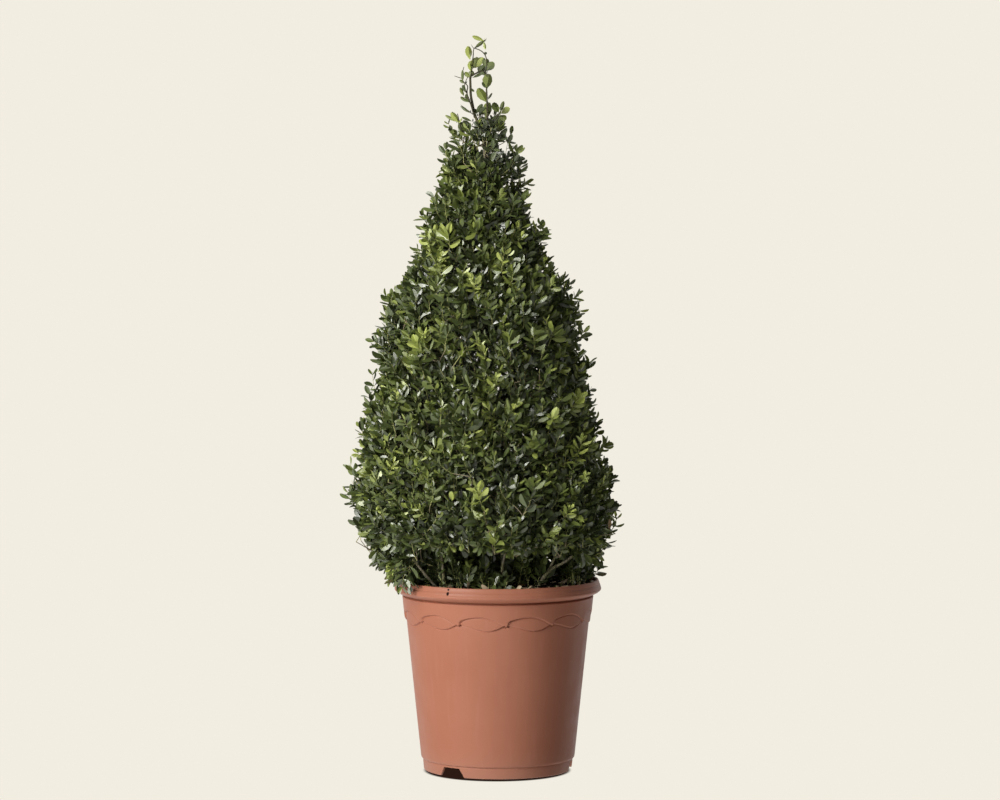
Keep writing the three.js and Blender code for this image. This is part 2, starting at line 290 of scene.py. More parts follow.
class Finish(Nodes):
    """A material of one shader, put together a step at a time."""

    def __init__(self, name, colour, roughness, specular=0.5):
        self.material = bpy.data.materials.new(name)
        super().__init__(self.material)
        self.sockets = self.tree.nodes["Principled BSDF"].inputs
        self.feed(self.sockets["Base Color"], colour)
        self.feed(self.sockets["Roughness"], roughness)
        self.feed(self.sockets["Specular IOR Level"], specular)
        self.place = self.add("TexCoord").outputs["Object"]

    def noise(self, size, detail=3.0, stretch=None):
        """A cloudy pattern whose lumps are about size across."""
        place = self.place
        if stretch:
            place = self.add("Mapping", {"Vector": place, "Scale": stretch}).outputs["Vector"]
        return self.add("TexNoise", {"Vector": place, "Scale": 1 / size, "Detail": detail}).outputs["Fac"]

    def height(self):
        """The height above the ground."""
        return self.add("SeparateXYZ", {"Vector": self.place}).outputs["Z"]

    def mixed(self, factor, first, second):
        """Between two colours, each a plain colour or an output."""
        return self.add("Mix", {"Factor": factor, 6: first, 7: second}, data_type="RGBA").outputs[2]

    def colour(self, output):
        """An output for the shader's colour."""
        self.feed(self.sockets["Base Color"], output)

    def rough(self, output):
        """An output for the shader's roughness."""
        self.feed(self.sockets["Roughness"], output)

    def bump(self, height, depth):
        """Relief of about this depth, over any given before."""
        node = self.add("Bump", {"Height": height, "Strength": 1.0, "Distance": depth})
        normal = self.sockets["Normal"]
        if normal.is_linked:
            self.feed(node.inputs["Normal"], normal.links[0].from_socket)
        self.feed(normal, node.outputs["Normal"])


def terracotta_plastic():
    """Moulded plastic: a warm red-brown, faintly clouded, dusty at the foot, with marks on the rim."""
    finish = Finish("terracotta_plastic", (0.45, 0.19, 0.12), 0.5, 0.36)
    clouds = finish.noise(90 * MM, 4)
    body = finish.mixed(finish.ranged(clouds, 0.3, 0.7, 0, 1), (0.410, 0.156, 0.092), (0.384, 0.140, 0.081))
    streaks = finish.noise(9 * MM, 3, (1, 1, 0.08))
    streaked = finish.mixed(finish.ranged(streaks, 0.55, 0.8, 0, 0.3), body, (0.45, 0.190, 0.124))
    dust = finish.ranged(finish.height(), 0, 45 * MM, 0.35, 0)
    dusty = finish.mixed(dust, streaked, (0.40, 0.20, 0.14))
    rough = finish.ranged(finish.noise(30 * MM, 5), 0.3, 0.7, 0.42, 0.56)
    for out, down, radius in np.array(RIM_MARKS) * MM:
        spot = POT_AXIS + level(RIM_MARK_AZIMUTH) * out + UP * (RIM_TOP - down)
        mark = finish.ranged(finish.apart(finish.place, spot), radius, 1.4 * radius, 1, 0)
        dusty = finish.mixed(mark, dusty, (0.012, 0.002, 0.001))
        rough = finish.worked_out("MULTIPLY_ADD", mark, 0.5, rough)
    finish.colour(dusty)
    finish.rough(rough)
    finish.bump(finish.noise(0.9 * MM, 2), 0.05 * MM)
    finish.bump(finish.noise(26 * MM, 2, (1, 1, 0.4)), 0.5 * MM)
    return finish.material


def potting_soil():
    """Damp peat and bark: near black, with browner fibres."""
    finish = Finish("potting_soil", (0.02, 0.014, 0.01), 0.95, 0.25)
    lumps = finish.ranged(finish.noise(5 * MM, 6), 0.35, 0.7, 0, 1)
    finish.colour(finish.mixed(lumps, (0.012, 0.009, 0.007), (0.055, 0.036, 0.024)))
    finish.rough(finish.ranged(finish.noise(2 * MM, 3), 0.3, 0.7, 0.8, 1.0))
    finish.bump(finish.noise(1.2 * MM, 5), 1.0 * MM)
    return finish.material


YOUNG_BARK = (0.062, 0.056, 0.030)


def boxwood_bark():
    """Thin corky bark: greyish tan with olive patches, cracked lengthwise."""
    finish = Finish("boxwood_bark", (0.3, 0.27, 0.18), 0.85, 0.3)
    cracks = finish.noise(1.6 * MM, 4, (1, 1, 0.22))
    patches = finish.ranged(finish.noise(16 * MM, 3), 0.4, 0.62, 0, 1)
    skin = finish.mixed(patches, (0.46, 0.41, 0.29), (0.30, 0.29, 0.14))
    cracked = finish.mixed(finish.ranged(cracks, 0.34, 0.52, 1, 0), skin, (0.10, 0.085, 0.055))
    young = finish.ranged(finish.height(), 0.98, 1.05, 0, 1)
    finish.colour(finish.mixed(young, cracked, YOUNG_BARK))
    finish.rough(finish.ranged(cracks, 0.3, 0.7, 0.95, 0.7))
    finish.bump(cracks, 0.5 * MM)
    return finish.material


def leaf_finish(name, colour, roughness):
    """A waxy leaf: one plain colour, its gloss broken by a slightly uneven surface."""
    finish = Finish(name, colour, roughness, 1.0)
    finish.rough(finish.ranged(finish.noise(7 * MM, 2), 0.3, 0.7, roughness - 0.07, roughness + 0.07))
    finish.bump(finish.noise(4 * MM, 1), 0.08 * MM)
    return finish.material


def twig_finish(name, colour):
    """A twig's skin, finely ridged along its length."""
    finish = Finish(name, colour, 0.75, 0.35)
    finish.rough(finish.ranged(finish.noise(3 * MM, 3), 0.3, 0.7, 0.6, 0.9))
    finish.bump(finish.noise(1.5 * MM, 3, (1, 1, 0.3)), 0.2 * MM)
    return finish.material


# Leaf colours, each with its roughness, from the oldest growth to the youngest, and of dying leaves
LEAF_TONES = {
    "deep": ((0.056, 0.074, 0.025), 0.34),
    "dark": ((0.084, 0.112, 0.031), 0.34),
    "middle": ((0.132, 0.170, 0.040), 0.36),
    "fresh": ((0.220, 0.264, 0.055), 0.39),
    "bright": ((0.380, 0.438, 0.098), 0.43),
    "yellowed": ((0.270, 0.165, 0.055), 0.50),
    "fallen": ((0.420, 0.330, 0.210), 0.60),
}


# ---- Pot ----

def wall_outside(z):
    """The radius of the wall's outside at each height."""
    return WALL_FOOT_RADIUS + WALL_SLOPE * z


def wave_edges(share):
    """Heights of the upper and lower edge of the lens panels, for a share of the unit."""
    x = np.clip(share / WAVE_TIP, 0, 1)
    to_peak = math.log(0.5) / math.log(WAVE_PEAK / WAVE_TIP)
    to_trough = math.log(0.5) / math.log(WAVE_TROUGH / WAVE_TIP)
    rise = np.sin(math.pi * x**to_peak) ** (0.32 + 0.8 * x)
    fall = np.sin(math.pi * x**to_trough) ** 1.1
    tab = 2.4 * MM * np.exp(-(((share - 0.5 - WAVE_TIP / 2) / 0.018) ** 2))
    return WAVE_LINE + WAVE_RISE * rise - tab, WAVE_LINE - WAVE_FALL * fall - tab


def wave_relief(azimuth, z):
    """How far the band and its lens panels stand out of the wall, over a grid."""
    share = ((azimuth - WAVE_START) * WAVE_UNITS / TURN) % 1
    upper, lower = wave_edges(share)
    step = wall_outside(WAVE_LINE) * (azimuth[1] - azimuth[0])
    relief = np.zeros((len(z), len(azimuth)))
    handed_on = 0.15 + 0.70 * share  # from the upper step to the lower one, along each panel
    for edge, proud in ((upper, (1 - handed_on) * BAND_PROUD), (lower, handed_on * BAND_PROUD)):
        slope = np.gradient(edge, step)
        off = (z[:, None] - edge) / np.sqrt(1 + slope**2)
        relief += proud * smoothstep(-WAVE_EDGE / 2, WAVE_EDGE / 2, off)
        relief -= 0.65 * proud * np.exp(-(((off + 0.9 * WAVE_EDGE) / (0.75 * MM)) ** 2))
    pitch = wall_outside(WAVE_LINE) * TURN / WAVE_UNITS
    along = (share - np.round(share) - 0.012) * pitch
    apart = np.hypot(along, z[:, None] - WAVE_LINE + 0.6 * MM)
    return relief - 2.2 * MM * np.exp(-((apart / (1.5 * MM)) ** 2))


def pot_profile():
    """[radius, height] rows of the wall, up the outside, over the rim and down the inside, and
    which of them the relief is on."""
    foot = [(119.9, 17.5), (121.2, 18.4), (122.3, 19.6), (122.75, 21.5)]
    face = [  # the groove under the rim, its bevel, its leaning face with two fine lines, and the top
        (152.6, -27.5), (152.2, -26.9), (151.0, -26.5), (146.6, -26.3), (146.4, -23.9), (151.2, -23.7),
        (153.4, -23.4), (155.2, -22.8), (160.2, -20.3), (163.6, -17.8), (164.7, -16.3), (165.0, -15.1),
        (164.9, -14.4), (164.4, -13.9), (164.4, -13.5), (164.7, -13.0), (162.9, -7.5), (162.3, -7.1),
        (162.3, -6.7), (162.5, -6.2), (160.8, -1.8), (160.4, -0.7), (159.7, -0.1), (158.8, 0.0),
        (157.8, -0.35), (157.3, -1.2), (157.0, -6.0), (156.4, -12.5), (149.5, -20.0), (144.8, -23.6),
        (144.8, -27.0), (146.6, -34.0),
    ]
    rows = [(r * MM, z * MM) for r, z in foot]
    low, high = WAVE_LINE - WAVE_FALL - 4 * MM, WAVE_LINE + WAVE_RISE + 3 * MM
    below, beside = np.linspace(24 * MM, low - 8 * MM, 16), np.arange(low, high, 0.7 * MM)
    above = np.linspace(high + 2 * MM, BAND_TOP - 1.5 * MM, 3)
    rows += [(wall_outside(z), z) for z in (*below, *beside, *above)]
    relief_rows = slice(len(foot), len(rows))
    scale = RIM_RADIUS / (165 * MM)
    rows += [(r * MM * scale, RIM_TOP + z * MM) for r, z in face]
    inside = [WAVE_LINE, 120 * MM, BASE_UNDERSIDE + WALL]
    rows += [(wall_outside(z) - WALL, z) for z in inside]
    return np.array(rows), relief_rows


def add_pot_wall(finish):
    """The wall and the rim, with the wave relief at the foot of the band."""
    profile, relief_rows = pot_profile()
    radius = np.repeat(profile[:, :1], POT_COLUMNS, 1)
    radius[relief_rows] += wave_relief(around(POT_COLUMNS), profile[relief_rows, 1])
    points = lathe(radius, profile[:, 1:], POT_COLUMNS)
    faces = grid_faces(len(profile), POT_COLUMNS, closed=True)
    on_plant(mesh_object("pot_wall", points.reshape(-1, 3), faces, finish=finish), "pot", "pot")


def prism(outline, start, direction, depth):
    """Points and faces of a straight prism: a flat outline of points, pushed along a direction."""
    outline = np.array(outline) + start
    count = len(outline)
    points = np.concatenate([outline, outline + direction * depth])
    return points, [*grid_faces(2, count), np.arange(count)[::-1], count + np.arange(count)]


def cutter_object(shapes):
    """The notches and drain holes, as one object to cut with."""
    points, faces, offset = [], [], 0
    for some_points, some_faces in shapes:
        points += [tuple(point) for point in some_points]
        faces += [tuple(offset + face) for face in some_faces]
        offset += len(some_points)
    mesh = bpy.data.meshes.new("cutter")
    mesh.from_pydata(points, [], faces)
    made = bpy.data.objects.new("cutter", mesh)
    bpy.context.scene.collection.objects.link(made)
    return made


def notch_shape(azimuth):
    """A trapezoid doorway through the foot ring."""
    out = level(azimuth)
    side = np.cross(UP, out)
    corners = [
        (-NOTCH_BOTTOM_WIDTH / 2, -1 * MM), (NOTCH_BOTTOM_WIDTH / 2, -1 * MM),
        (NOTCH_TOP_WIDTH / 2, NOTCH_HEIGHT), (-NOTCH_TOP_WIDTH / 2, NOTCH_HEIGHT),
    ]
    start = POT_AXIS + out * (FOOT_RADIUS - 3 * FOOT_WIDTH)
    return prism([side * across + UP * up for across, up in corners], start, out, 6 * FOOT_WIDTH)


def drain_shape(azimuth):
    """A round hole through the base plate."""
    centre = POT_AXIS + DRAIN_CIRCLE * level(azimuth) + UP * (BASE_UNDERSIDE - 2 * WALL)
    return prism(DRAIN_RADIUS * level(around(24)), centre, UP, 5 * WALL)


def add_pot_base(finish):
    """The base plate and the foot ring below it, with its notches and drain holes."""
    profile = np.array([
        (2, 17.0), (60, 17.0), (61, 16.2), (63, 16.2), (64, 17.0), (113.6, 17.0), (115.2, 16.0),
        (114.6, 1.2), (115.0, 0.3), (115.8, 0.0), (117.4, 0.0), (118.3, 0.5), (118.5, 1.4),
        (119.6, 14.0), (119.8, 17.3), (119.2, 19.4), (2, 19.4),
    ]) * MM
    base = mesh_object("pot_base", *capped(lathe(profile[:, :1], profile[:, 1:], 240)), finish=finish)
    shapes = [notch_shape(NOTCH_AZIMUTH + k * TURN / NOTCHES) for k in range(NOTCHES)]
    shapes += [drain_shape(NOTCH_AZIMUTH + k * TURN / DRAIN_HOLES) for k in range(DRAIN_HOLES)]
    cutter = cutter_object(shapes)
    cut = base.modifiers.new("holes", "BOOLEAN")
    cut.operation = "DIFFERENCE"
    cut.solver = "EXACT"
    cut.object = cutter
    bpy.context.view_layer.update()
    base.data = bpy.data.meshes.new_from_object(base.evaluated_get(bpy.context.evaluated_depsgraph_get()))
    base.modifiers.clear()
    bpy.data.objects.remove(cutter)
    base.data.shade_smooth()
    base.data.set_sharp_from_angle(angle=math.radians(40))
    on_plant(base, "pot")


# ---- Soil ----

def add_soil(finish, rng):
    """The soil's body, uneven on top, with crumbs and chips of bark lying on it."""
    outer = SOIL_HIGH[0] - POT_AXIS[0]
    low, neck = 21 * MM, 144 * MM  # the body's underside, and its radius inside the rim
    rows = [(90 * MM, low), (119 * MM, low)]
    rows += [(wall_outside(z) - WALL - 1 * MM, z) for z in (120 * MM, WAVE_LINE)]
    rows += [(neck, RIM_TOP - 30 * MM), (neck, RIM_TOP - 22 * MM), (outer - 1 * MM, SOIL_TOP - 5 * MM)]
    body_rows = len(rows)
    rows += [(r, SOIL_TOP - 2 * MM) for r in np.linspace(outer - 0.3 * MM, 2 * MM, 62)]
    profile = np.array(rows)
    rings = lathe(profile[:, :1], profile[:, 1:], 220)
    top = rings[body_rows:]
    top[..., 2] += 1.6 * MM * drift(top, 26 * MM, 5) + 1.0 * MM * drift(top, 8 * MM, 6)
    on_plant(mesh_object("soil_body", *capped(rings), finish=finish), "soil", "soil")
    add_crumbs(finish, rng)


def add_crumbs(finish, rng):
    """Angular crumbs, each a squashed and twisted octahedron with its edges cut."""
    count = 2400
    spots = scattered_on_soil(count, rng, 155 * MM)
    size = rng.uniform(1.0, 3.4, (count, 1, 1)) * MM * rng.uniform(0.5, 1.1, (count, 1, 3))
    corners = unit(np.array([
        (1, 0, 0), (0, 1, 0), (-1, 0, 0), (0, -1, 0), (0, 0, 1), (0, 0, -1),
        (1, 1, 1), (-1, 1, 1), (-1, -1, 1), (1, -1, 1),
    ], float))
    triangles = np.array([
        (0, 1, 6), (1, 2, 7), (2, 3, 8), (3, 0, 9), (6, 4, 9), (4, 6, 7), (4, 7, 8), (4, 8, 9),
        (1, 7, 6), (2, 8, 7), (3, 9, 8), (0, 6, 9), (1, 0, 5), (2, 1, 5), (3, 2, 5), (0, 3, 5),
    ])
    shape = corners * (1 + 0.35 * rng.normal(size=(count, len(corners), 1))) * size
    points = np.einsum("nij,nvj->nvi", random_turns(count, rng), shape) + spots[:, None]
    crumbs = mesh_object("soil_crumbs", *copies(points, triangles), finish=finish)
    crumbs.data.shade_flat()
    on_plant(crumbs, "soil")


def scattered_on_soil(count, rng, reach):
    """Points strewn evenly over the soil within reach of the pot's axis."""
    radius = reach * np.sqrt(rng.uniform(0, 1, count))
    azimuth = rng.uniform(0, TURN, count)
    return POT_AXIS + radius[:, None] * level(azimuth) + UP * (SOIL_TOP - 1 * MM)


def random_turns(count, rng):
    """Random rotation matrices."""
    first = unit(rng.normal(size=(count, 3)))
    second = unit(np.cross(first, rng.normal(size=(count, 3))))
    return np.stack([first, second, np.cross(first, second)], -1)


# ---- Limbs ----

LIMB_END = 2.5 * MM  # the last level cut through a limb is this far below its top


def cad_mesh(node):
    """A CAD node's mesh, and its points."""
    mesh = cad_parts[node].data
    return mesh, np.array([corner.co for corner in mesh.vertices])


def limb_axis(node, steps):
    """A CAD limb's centre line and radius, from level cuts through its mesh."""
    mesh, corners = cad_mesh(node)
    edges = np.array([edge.vertices for edge in mesh.edges])
    first, second = corners[edges[:, 0]], corners[edges[:, 1]]
    low, high = corners[:, 2].min(), corners[:, 2].max()
    centres, radii = [], []
    for height in np.linspace(low + 0.4 * MM, high - LIMB_END, steps):
        crossed = (first[:, 2] - height) * (second[:, 2] - height) < 0
        a, b = first[crossed], second[crossed]
        cut = a + (b - a) * ((height - a[:, 2]) / (b[:, 2] - a[:, 2]))[:, None]
        middle = (cut.min(0) + cut.max(0)) / 2
        spread = np.linalg.eigvalsh(np.cov((cut - middle)[:, :2].T))
        centres.append(middle)
        radii.append(math.sqrt(2 * spread[0]))
    return np.array(centres), np.array(radii)


def smooth_route(centres, radii, spacing):
    """Catmull-Rom points about a spacing apart through a route's points, and the radii there."""
    points = np.concatenate([centres, radii[:, None]], 1)
    padded = np.concatenate([[2 * points[0] - points[1]], points, [2 * points[-1] - points[-2]]])
    route = []
    for k in range(len(points) - 1):
        p0, p1, p2, p3 = padded[k:k + 4]
        steps = max(1, round(np.linalg.norm((p2 - p1)[:3]) / spacing))
        t = (np.arange(steps) / steps)[:, None]
        route.append(0.5 * (2 * p1 + (p2 - p0) * t + (2 * p0 - 5 * p1 + 4 * p2 - p3) * t**2
                            + (3 * p1 - p0 - 3 * p2 + p3) * t**3))
    route = np.concatenate(route + [points[-1:]])
    return route[:, :3], route[:, 3]


def rings_along(centres, along, aside, radii, sides):
    """Rings of points square to a route, with a radius for each ring or for each point."""
    across = unit(np.cross(aside, along))
    second = np.cross(along, across)
    angle = around(sides)[:, None]
    spokes = across[..., None, :] * np.cos(angle) + second[..., None, :] * np.sin(angle)
    return centres[..., None, :] + spokes * radii[..., None]


def tube(centres, radii, sides):
    """Rings of points round a route, with a point at its end, and the faces between them."""
    along = unit(np.gradient(centres, axis=0))
    aside = np.eye(3)[np.argmin(np.abs(along.mean(0)))]
    radii = radii if radii.ndim == 2 else radii[:, None]
    rings = rings_along(centres, along, aside, radii, sides)
    tip = centres[-1] + along[-1] * radii[-1].mean()
    points = np.concatenate([rings.reshape(-1, 3), [tip]])
    end = len(points) - 1
    return points, grid_faces(len(centres), sides), fan_faces(end - sides, sides, end)


def bark_tube(centres, radii, sides, seed):
    """A limb with lengthwise cracks, swellings at old nodes and a slightly wandering outline."""
    angle = around(sides)
    place = np.stack([
        np.cos(angle) * radii[:, None],
        np.sin(angle) * radii[:, None],
        centres[:, 2:3] * np.ones(sides),
    ], -1)
    size = radii.max()
    ridges = np.abs(drift(place, 0.9 * size, seed, (1, 1, 5)))
    knots = drift(centres, 9 * size, seed + 1)[:, None]
    grooves = 1 - 0.16 * np.clip(0.55 - ridges, 0, 1)
    return tube(centres, radii[:, None] * grooves * (1 + 0.10 * np.clip(knots, -0.4, 1.4)), sides)


def add_limb(node, centres, radii, spacing, finish, seed):
    """A limb along its route, with points about a spacing apart."""
    sides = 28 if node == "trunk" else 14
    shape = bark_tube(*smooth_route(centres, radii, spacing), sides, seed)
    on_plant(mesh_object("bark_" + node, *shape, finish=finish), "bark", node)


# ---- The crown's outline ----

def crown_tree():
    """The CAD crown, to be met by rays."""
    mesh, corners = cad_mesh("crown")
    return BVHTree.FromPolygons(corners.tolist(), [tuple(face.vertices) for face in mesh.polygons])


CROWN = crown_tree()


def crown_radius(azimuth, z):
    """How far out the crown's face is at this azimuth and height."""
    out = Vector((math.cos(azimuth), math.sin(azimuth), 0))
    place, *_ = CROWN.ray_cast(out * 0.5 + Vector((0, 0, z)), -out)
    return 0.0 if place is None else math.hypot(place.x, place.y)


def mean_radii(heights):
    """The crown's mean radius at each height."""
    return np.array([np.mean([crown_radius(azimuth, z) for azimuth in around(24)]) for z in heights])


RADII_AT = np.linspace(CROWN_LOW[2] + 2 * MM, CROWN_HIGH[2] - 1 * MM, 90)
MEAN_RADII = mean_radii(RADII_AT)


def mean_radius(z):
    """The crown's mean radius at any height."""
    return np.interp(z, RADII_AT, MEAN_RADII)


def outward_from_axis(points):
    """The level direction away from the crown's axis."""
    return unit(points * [1, 1, 0])


def crown_surface(count, rng):
    """Points spread over the crown's outside by area, and the outward direction at each."""
    mesh, corners = cad_mesh("crown")
    mesh.calc_loop_triangles()
    triangles = corners[np.array([t.vertices for t in mesh.loop_triangles])]
    cross = np.cross(triangles[:, 1] - triangles[:, 0], triangles[:, 2] - triangles[:, 0])
    area = np.linalg.norm(cross, axis=1)
    chosen = rng.choice(len(area), count, p=area / area.sum())
    a, b = np.sqrt(rng.uniform(size=(count, 1))), rng.uniform(size=(count, 1))
    p, q, r = (triangles[chosen, k] for k in range(3))
    points = (1 - a) * p + a * (1 - b) * q + a * b * r
    face = unit(cross)[chosen]
    radial = outward_from_axis(points)
    lean = (mean_radius(points[:, 2] - 25 * MM) - mean_radius(points[:, 2] + 25 * MM)) / (50 * MM)
    side = unit(radial + UP * np.clip(lean, -1.2, 4)[:, None])
    under = face[:, 2] < -0.6
    outward = np.where(under[:, None], unit(0.4 * radial - 0.9 * UP), side)
    outside = (face * outward).sum(1) > 0.15
    return points[outside], outward[outside]


def thinned(points, spacing):
    """Indices of points kept so that no two are nearer than their spacing."""
    kept = np.empty((len(points), 3))
    index = []
    for k, point in enumerate(points):
        near = kept[:len(index)] - point
        if not index or (near * near).sum(1).min() > spacing[k] ** 2:
            kept[len(index)] = point
            index.append(k)
    return np.array(index)


# ---- Stems inside the crown ----

def carried_on(centres, radii, share, top, rng):
    """A bough's route and radii, carried on up inside the crown at a share of its radius."""
    step = 14 * MM
    place = centres[-1].copy()
    heading = unit(centres[-1] - centres[-4])
    route, thickness = [], []
    length = max(1, int((top - place[2]) / step))
    for k in range(length):
        radial = outward_from_axis(place)
        swing = np.clip((share * mean_radius(place[2]) - np.hypot(*place[:2])) / (50 * MM), -0.8, 0.8)
        heading = unit(heading + 0.35 * (UP + swing * radial) + 0.10 * rng.normal(size=3))
        place = place + heading * step
        route.append(place)
        thickness.append(radii[-1] * (1 - 0.62 * (k + 1) / length))
    return np.array(route), np.array(thickness)


def grow(roots, targets, heading):
    """A tree from the roots to every target. It trades the length of new wood against the way
    back to the root, and prefers branches that grow along each target's heading.
    Returns the order of growth and each target's parent, counted with the roots first."""
    count = len(targets)
    best = np.full(count, np.inf)
    source = np.zeros(count, int)
    path = np.zeros(count)
    back = np.zeros(count)
    waiting = np.ones(count, bool)

    def offer(index, point, travelled):
        """Lets every waiting target grow from this point, if that costs less than its best so far."""
        way = targets - point
        distance = np.linalg.norm(way, axis=1)
        turned = 1 - (way * heading).sum(1) / np.maximum(distance, 1e-9)
        cost = distance * (1 + 0.9 * turned) + WAY_BACK * (travelled + distance)
        better = waiting & (cost < best)
        best[better] = cost[better]
        source[better] = index
        back[better] = travelled + distance[better]

    for index, point in enumerate(roots):
        offer(index, point, 0.0)
    order = []
    for _ in range(count):
        node = int(np.argmin(np.where(waiting, best, np.inf)))
        waiting[node] = False
        path[node] = back[node]
        order.append(node)
        offer(len(roots) + node, targets[node], path[node])
    return order, source


def branch_chains(root_count, order, parents, load):
    """Runs of nodes from each fork to a tip, each led by the most laden child, and all loads."""
    carried = np.concatenate([np.zeros(root_count), load])
    for node in reversed(order):
        carried[parents[node]] += carried[root_count + node]
    leading = {}
    for node in order:
        parent = parents[node]
        rival = leading.get(parent)
        if rival is None or carried[root_count + node] > carried[root_count + rival]:
            leading[parent] = node
    chains, chain_of = [], {}
    for node in order:
        parent = parents[node]
        if parent >= root_count and leading[parent] == node:
            chains[chain_of[parent]].append(root_count + node)
            chain_of[root_count + node] = chain_of[parent]
        else:
            chain_of[root_count + node] = len(chains)
            chains.append([parent, root_count + node])
    return chains, carried


TWIG_TIP = 0.62 * MM
TWIG_POWER = 0.40  # a twig's radius grows with the shoots it carries to this power


def twig_mesh(places, chains, carried, limit):
    """Tubes along the chains; limit is the thickest that a chain may start from each node."""
    tubes = []
    for chain in chains:
        radii = TWIG_TIP * np.maximum(carried[chain], 1) ** TWIG_POWER
        radii[0] = min(radii[1] * 1.15, limit[chain[0]])
        radii = np.minimum.accumulate(radii)
        sides = 7 if radii[0] > 1.8 * MM else 5 if radii[0] > 1.0 * MM else 4
        tubes.append(tube(*smooth_route(places[chain], radii, 9 * MM), sides))
    return join(tubes)


# ---- Shoots and leaves ----

@dataclass
class Shoots:
    """Leafy shoots, held as arrays with one row for each shoot."""

    base: np.ndarray
    tip: np.ndarray
    bend: np.ndarray  # how far the middle stands off the straight line
    pairs: np.ndarray  # of leaves
    length: np.ndarray  # of its largest leaves
    tone: np.ndarray
    fullness: np.ndarray
    bare: float  # share of its length without leaves, at the bottom

    def at(self, t):
        """Points along each shoot, for an array of shares with one row for each shoot."""
        t = t[..., None]
        straight = self.base[:, None] * (1 - t) + self.tip[:, None] * t
        return straight + self.bend[:, None] * 4 * t * (1 - t)


def shoot_stems(shoots, sides=3, steps=4):
    """Thin tubes along all shoots at once."""
    count = len(shoots.base)
    t = np.tile(np.linspace(0, 1, steps + 1), (count, 1))
    centres = shoots.at(t)
    along = unit(np.gradient(centres, axis=1))
    radii = (TWIG_TIP * (1.15 - 0.65 * t))[..., None]
    rings = rings_along(centres, along, np.array([-0.31, 0.17, -0.11]), radii, sides)
    points = rings.reshape(count, -1, 3)
    _, faces = copies(points, grid_faces(steps + 1, sides))
    flat, caps = copies(points, steps * sides + np.arange(sides)[None])
    return flat, faces, caps


# A leaf from its stalk to its notched tip: [share of the length, half width] for each row, and
# how far the midrib stops short of the last row
LEAF_ROWS = np.array([(0.12, 0.28), (0.32, 0.78), (0.56, 1.00), (0.80, 0.77), (0.965, 0.27)])
LEAF_NOTCH = 0.015


def leaf_shape():
    """Points (along, across) of a flat leaf of length one and half width one, and its faces."""
    points = [(0.0, 0.0)]
    for x, half in LEAF_ROWS:
        middle = x - LEAF_NOTCH if x == LEAF_ROWS[-1, 0] else x
        points += [(x, half), (middle, 0.0), (x, -half)]
    faces = [(0, 2, 1), (0, 3, 2)]
    for row in range(len(LEAF_ROWS) - 1):
        left, middle, right = 1 + 3 * row, 2 + 3 * row, 3 + 3 * row
        faces += [(left, middle, middle + 3), (left, middle + 3, left + 3)]
        faces += [(middle, right, right + 3), (middle, right + 3, middle + 3)]
    return np.array(points), np.array(faces)


LEAF_POINTS, LEAF_FACES = leaf_shape()


def crease(piece):
    """The midribs of a piece of leaves as sharp edges, so each half of a leaf takes the light alone."""
    mesh = piece.data
    ends = np.empty(2 * len(mesh.edges), np.int32)
    mesh.edges.foreach_get("vertices", ends)
    on_rib = (LEAF_POINTS[ends % len(LEAF_POINTS), 1] == 0).reshape(-1, 2).all(1)
    mesh.attributes.new("sharp_edge", "BOOLEAN", "EDGE").data.foreach_set("value", on_rib)


@dataclass
class Leaves:
    """Leaves, held as arrays with one row for each leaf."""

    base: np.ndarray
    along: np.ndarray
    facing: np.ndarray
    length: np.ndarray
    width: np.ndarray
    fold: np.ndarray
    curl: np.ndarray
    tone: np.ndarray

    def __post_init__(self):
        self.along = unit(self.along)
        self.facing = unit(self.facing - self.along * (self.facing * self.along).sum(-1, keepdims=True))

    def only(self, chosen):
        """Some of the leaves."""
        return Leaves(*(part[chosen] for part in vars(self).values()))

    def mesh(self, chosen):
        """Points and triangles of some of the leaves."""
        parts = (part[chosen, None] for part in vars(self).values())
        base, along, facing, length, width, fold, curl, _ = parts
        x, y = LEAF_POINTS.T
        half = width / 2
        lift = -fold * half * np.abs(y) - curl * length * x**2
        points = (base + along * (length * x)[..., None] + np.cross(facing, along) * (half * y)[..., None]
                  + facing * lift[..., None])
        return copies(points, LEAF_FACES)


def joined_leaves(groups):
    """All the leaves of several groups."""
    return Leaves(*(np.concatenate(parts) for parts in zip(*(vars(group).values() for group in groups))))


def clear_of_pot(leaves):
    """The leaves that don't cut through the pot's rim or wall."""
    clear = np.ones(len(leaves.base), bool)
    for share in (0.0, 0.3, 0.65, 1.0):
        place = leaves.base + leaves.along * (share * leaves.length)[:, None]
        radius = np.linalg.norm((place - POT_AXIS)[:, :2], axis=1)
        beside = (radius < SOIL_RADIUS - 4 * MM) | (radius > RIM_RADIUS + 4 * MM)
        clear &= beside | (place[:, 2] > RIM_TOP + 2 * MM)
    return leaves.only(clear)


def leaf_pairs(shoots, rng):
    """Where the pairs of leaves stand on every shoot: the share of its length, the place, the
    shoot's direction there, the pair's own direction across it, and whether the shoot has the pair."""
    count = len(shoots.base)
    step = np.tile(np.arange(shoots.pairs.max()), (count, 1))
    share = shoots.bare + (1 - shoots.bare) * (step + 0.5) / shoots.pairs[:, None]
    share = np.minimum(share + rng.normal(size=share.shape) * 0.012, 1.0)
    ahead = unit(shoots.at(np.minimum(share + 0.02, 1.02)) - shoots.at(share - 0.02))
    start = unit(np.cross(ahead, rng.normal(size=(count, 1, 3))))
    azimuth = (step * 0.25 + rng.normal(size=step.shape) * 0.035) * TURN
    second = np.cross(ahead, start)
    sideways = start * np.cos(azimuth)[..., None] + second * np.sin(azimuth)[..., None]
    return share, shoots.at(share), ahead, sideways, step < shoots.pairs[:, None]


